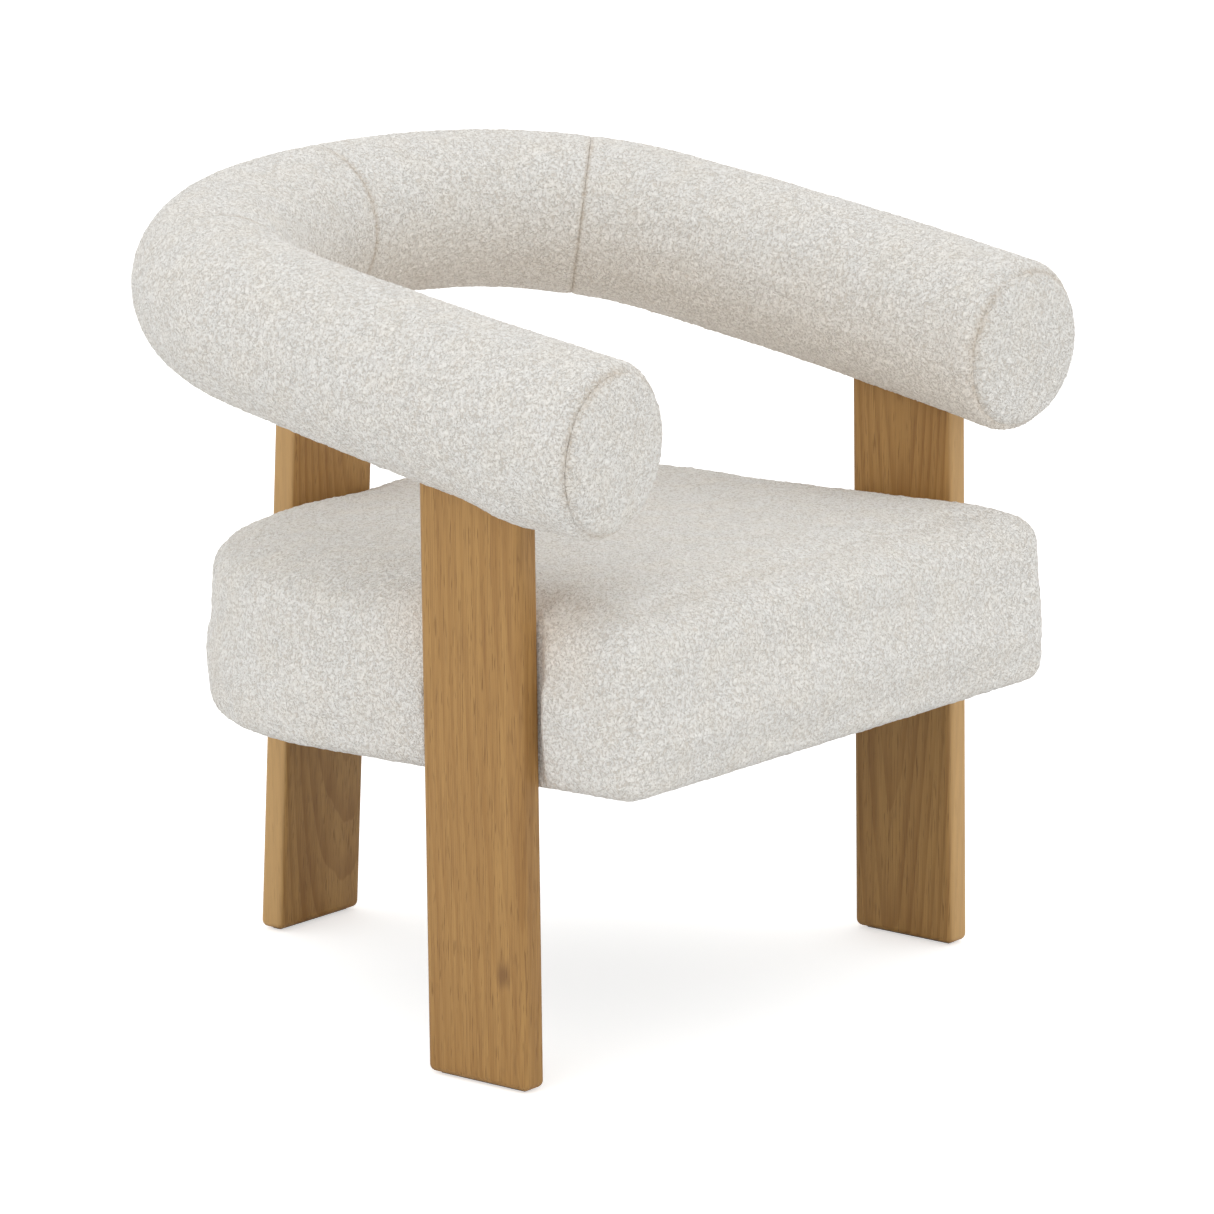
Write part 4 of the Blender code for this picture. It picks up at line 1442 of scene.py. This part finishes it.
# Each plank's pith line and its lean, how strongly its rings show, how far they wander, the axis
# its narrow faces look along, how strong the painted highlight on those is, and its knots and dark
# streaks as x, y, z, radius and strength.
KNOT = (-0.3198, -0.214, 0.103, 0.009, 0.6)
STREAK = (-0.3230, -0.2440, 0.478, 0.019, 0.9)
PLANKS = {
    "front_right": ((-0.62, -0.40), (0.02, 0.03), 0.30, 0.020, 1, 0.0, (KNOT, STREAK)),
    "front_left": ((0.245, -0.165), (0.05, -0.02), 0.55, 0.034, 1, 0.6, ()),
    "back": ((0.02, 0.17), (0.03, 0.06), 0.55, 0.034, 0, 0.6, ()),
}


class ARMCHAIR_OT_planks(bpy.types.Operator):
    """Set up the three oak planks that carry the rail"""

    bl_idname = "armchair.planks"
    bl_label = "Oak Planks"

    def execute(self, context):
        for place, wood in PLANKS.items():
            mesh = outward(plank_mesh(place))
            smooth(mesh)
            mesh.set_sharp_from_angle(angle=radians(40.0))
            piece = new_piece(f"oak_plank_{place}", mesh, "leg_wood", f"leg_{place}")
            piece.data.materials.append(oak_finish(f"honey_oak_{place}", *wood))
        return {"FINISHED"}


# ---------------------------------------------------------------- the rest of the frame


def dress_nodes(nodes, maker, name):
    """Give some of the frame's own nodes a finish."""
    material = finish_of(maker, name)
    for node in nodes:
        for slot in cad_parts[node].material_slots:
            slot.material = material


def nodes_starting(*starts):
    return sorted(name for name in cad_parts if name.startswith(starts))


class ARMCHAIR_OT_hidden_frame(bpy.types.Operator):
    """Give the seat's frame, the rail's core, the webbing and the glides their finishes"""

    bl_idname = "armchair.hidden_frame"
    bl_label = "Frame and Webbing"

    def execute(self, context):
        timber = nodes_starting("seat_rail_", "corner_block_")
        dress_nodes(timber, timber_finish, "sawn_timber")
        dress_nodes(nodes_starting("rail_core_"), plywood_finish, "birch_plywood")
        dress_nodes(nodes_starting("webbing_"), webbing_finish, "elastic_webbing")
        dress_nodes(nodes_starting("glide_"), felt_finish, "grey_felt")
        return {"FINISHED"}


class ARMCHAIR_OT_fasteners(bpy.types.Operator):
    """Plate the bolts, washers and screws"""

    bl_idname = "armchair.fasteners"
    bl_label = "Bolts and Screws"

    def execute(self, context):
        names = nodes_starting("seat_bolt_", "seat_washer_", "rail_screw_")
        dress_nodes(names, steel_finish, "zinc_plated_steel")
        return {"FINISHED"}


class ARMCHAIR_OT_dust_cover(bpy.types.Operator):
    """Stretch the black dust cloth under the seat"""

    bl_idname = "armchair.dust_cover"
    bl_label = "Dust Cover"

    def execute(self, context):
        outline = np.array(seat_outline(DUST_CLOTH_INSET))
        centre = outline.mean(axis=0)
        inward = np.linspace(1.0, 0.04, DUST_CLOTH_ROWS)
        rows = []
        for shares, under in ((inward[::-1], DUST_CLOTH_THICKNESS), (inward, 0.0)):
            for share in shares:
                ring = centre + (outline - centre) * share
                level = -DUST_CLOTH_GAP - under - DUST_CLOTH_SAG * (1 - share**2)
                points = np.column_stack([ring, np.full(len(ring), level)])
                rows.append(out_of(SEAT_SPACE, points))
        mesh = outward(closed_stack(rows))
        smooth(mesh)
        mesh.set_sharp_from_angle(angle=radians(40.0))
        piece = new_piece("dust_cloth", mesh, "dust_cloth", "dust_cover")
        piece.data.materials.append(finish_of(dust_cloth_finish, "black_dust_cloth"))
        return {"FINISHED"}


# ---------------------------------------------------------------- the studio


def from_round(azimuth, elevation):
    """The direction of a place round the chair. Azimuth 0 is in front, elevation over the floor."""
    flat = cos(elevation)
    return Vector((sin(azimuth) * flat, -cos(azimuth) * flat, sin(elevation)))


# Each soft light's azimuth, elevation, distance and size, and its share of the key light's power.
LIGHTS = {
    "top_light": (radians(-60), radians(84), 2.2, 2.2, 1.0),
    "left_light": (radians(-105), radians(40), 2.8, 2.0, 0.4),
}
LIT_POINT = Vector((0.0, 0.0, 0.4))
CHAIR_MIDDLE = Vector((0.0, -0.0547, 0.322))
CAMERA_AIM = Vector((0.0117, -0.0608, 0.3455))


class ARMCHAIR_OT_studio(bpy.types.Operator):
    """Lay a white floor, hang the soft lights and set up the camera"""

    bl_idname = "armchair.studio"
    bl_label = "Studio"

    def execute(self, context):
        studio = context.scene.armchair_studio
        self.lay_floor(studio)
        self.fill_sky(studio)
        for name, (azimuth, elevation, distance, size, share) in LIGHTS.items():
            self.hang_light(name, azimuth, elevation, distance, size, studio.key * share)
        self.set_up_camera(studio)
        context.scene.view_settings.view_transform = "Standard"
        return {"FINISHED"}

    def set_up_camera(self, studio):
        lens = bpy.data.cameras.new("camera")
        lens.sensor_width = 36.0
        lens.lens = studio.lens
        lens.clip_end = 100.0
        camera = bpy.data.objects.new("camera", lens)
        bpy.context.scene.collection.objects.link(camera)
        bpy.context.scene.camera = camera
        offset = from_round(studio.azimuth, studio.elevation) * studio.distance
        camera.location = CHAIR_MIDDLE + offset
        sight = CAMERA_AIM - camera.location
        camera.rotation_euler = sight.to_track_quat("-Z", "Y").to_euler()

    def lay_floor(self, studio):
        """The floor that shows, and just under it the plain white one that lights the chair."""
        shown = self.floor_sheet("floor", 0.0, studio.floor_glow, studio)
        shown.visible_diffuse = False
        shown.visible_glossy = False
        shown.visible_transmission = False
        shown.visible_shadow = False
        hidden = self.floor_sheet("bounce_floor", -0.001, 0.0, studio)
        hidden.visible_camera = False

    def floor_sheet(self, name, level, glow, studio):
        half = studio.floor_size / 2
        corners = [(-half, -half), (half, -half), (half, half), (-half, half)]
        points = [(x, y, level) for x, y in corners]
        floor = bpy.data.objects.new(name, mesh_of(points, [(0, 1, 2, 3)]))
        bpy.context.scene.collection.objects.link(floor)
        finish = Finish(f"white_{name}")
        mottle = finish.noise(finish.place(), 0.4, detail=2.0)
        base = finish.mixed((0.88, 0.88, 0.875), (0.90, 0.90, 0.895), mottle)
        material = finish.surface(
            Base_Color=base,
            Roughness=0.9,
            Specular_IOR_Level=0.0,
            Emission_Color=(1.0, 1.0, 1.0, 1.0),
            Emission_Strength=glow,
        )
        floor.data.materials.append(material)
        return floor

    def fill_sky(self, studio):
        world = bpy.data.worlds.new("studio_sky")
        world.use_nodes = True
        background = world.node_tree.nodes["Background"]
        background.inputs["Color"].default_value = (1.0, 0.995, 0.985, 1.0)
        background.inputs["Strength"].default_value = studio.sky
        bpy.context.scene.world = world

    def hang_light(self, name, azimuth, elevation, distance, size, power):
        lamp = bpy.data.lights.new(name, "AREA")
        lamp.size = size
        lamp.energy = power
        lamp.color = (1.0, 0.985, 0.96)
        item = bpy.data.objects.new(name, lamp)
        bpy.context.scene.collection.objects.link(item)
        item.location = LIT_POINT + from_round(azimuth, elevation) * distance
        item.rotation_euler = (LIT_POINT - item.location).to_track_quat("-Z", "Y").to_euler()


# ---------------------------------------------------------------- the add-on


STEPS = (
    ARMCHAIR_OT_studio,
    ARMCHAIR_OT_back,
    ARMCHAIR_OT_arms,
    ARMCHAIR_OT_arm_discs,
    ARMCHAIR_OT_seat,
    ARMCHAIR_OT_planks,
    ARMCHAIR_OT_dust_cover,
    ARMCHAIR_OT_hidden_frame,
    ARMCHAIR_OT_fasteners,
)


class ARMCHAIR_PT_steps(bpy.types.Panel):
    bl_idname = "ARMCHAIR_PT_steps"
    bl_label = "Barrel Armchair"
    bl_space_type = "VIEW_3D"
    bl_region_type = "UI"
    bl_category = "Armchair"

    def draw(self, context):
        for name, group in SETTINGS.items():
            box = self.layout.box()
            box.label(text=name.replace("armchair_", "").title())
            for prop in group.__annotations__:
                box.prop(getattr(context.scene, name), prop)
        for step in STEPS:
            self.layout.operator(step.bl_idname)


CLASSES = (*SETTINGS.values(), *STEPS, ARMCHAIR_PT_steps)


def register():
    for cls in CLASSES:
        bpy.utils.register_class(cls)
    for name, group in SETTINGS.items():
        setattr(bpy.types.Scene, name, PointerProperty(type=group))


def unregister():
    for name in SETTINGS:
        delattr(bpy.types.Scene, name)
    for cls in reversed(CLASSES):
        bpy.utils.unregister_class(cls)


def main():
    register()
    for step in STEPS:
        area, name = step.bl_idname.split(".")
        getattr(getattr(bpy.ops, area), name)()


if __name__ == "__main__":
    main()
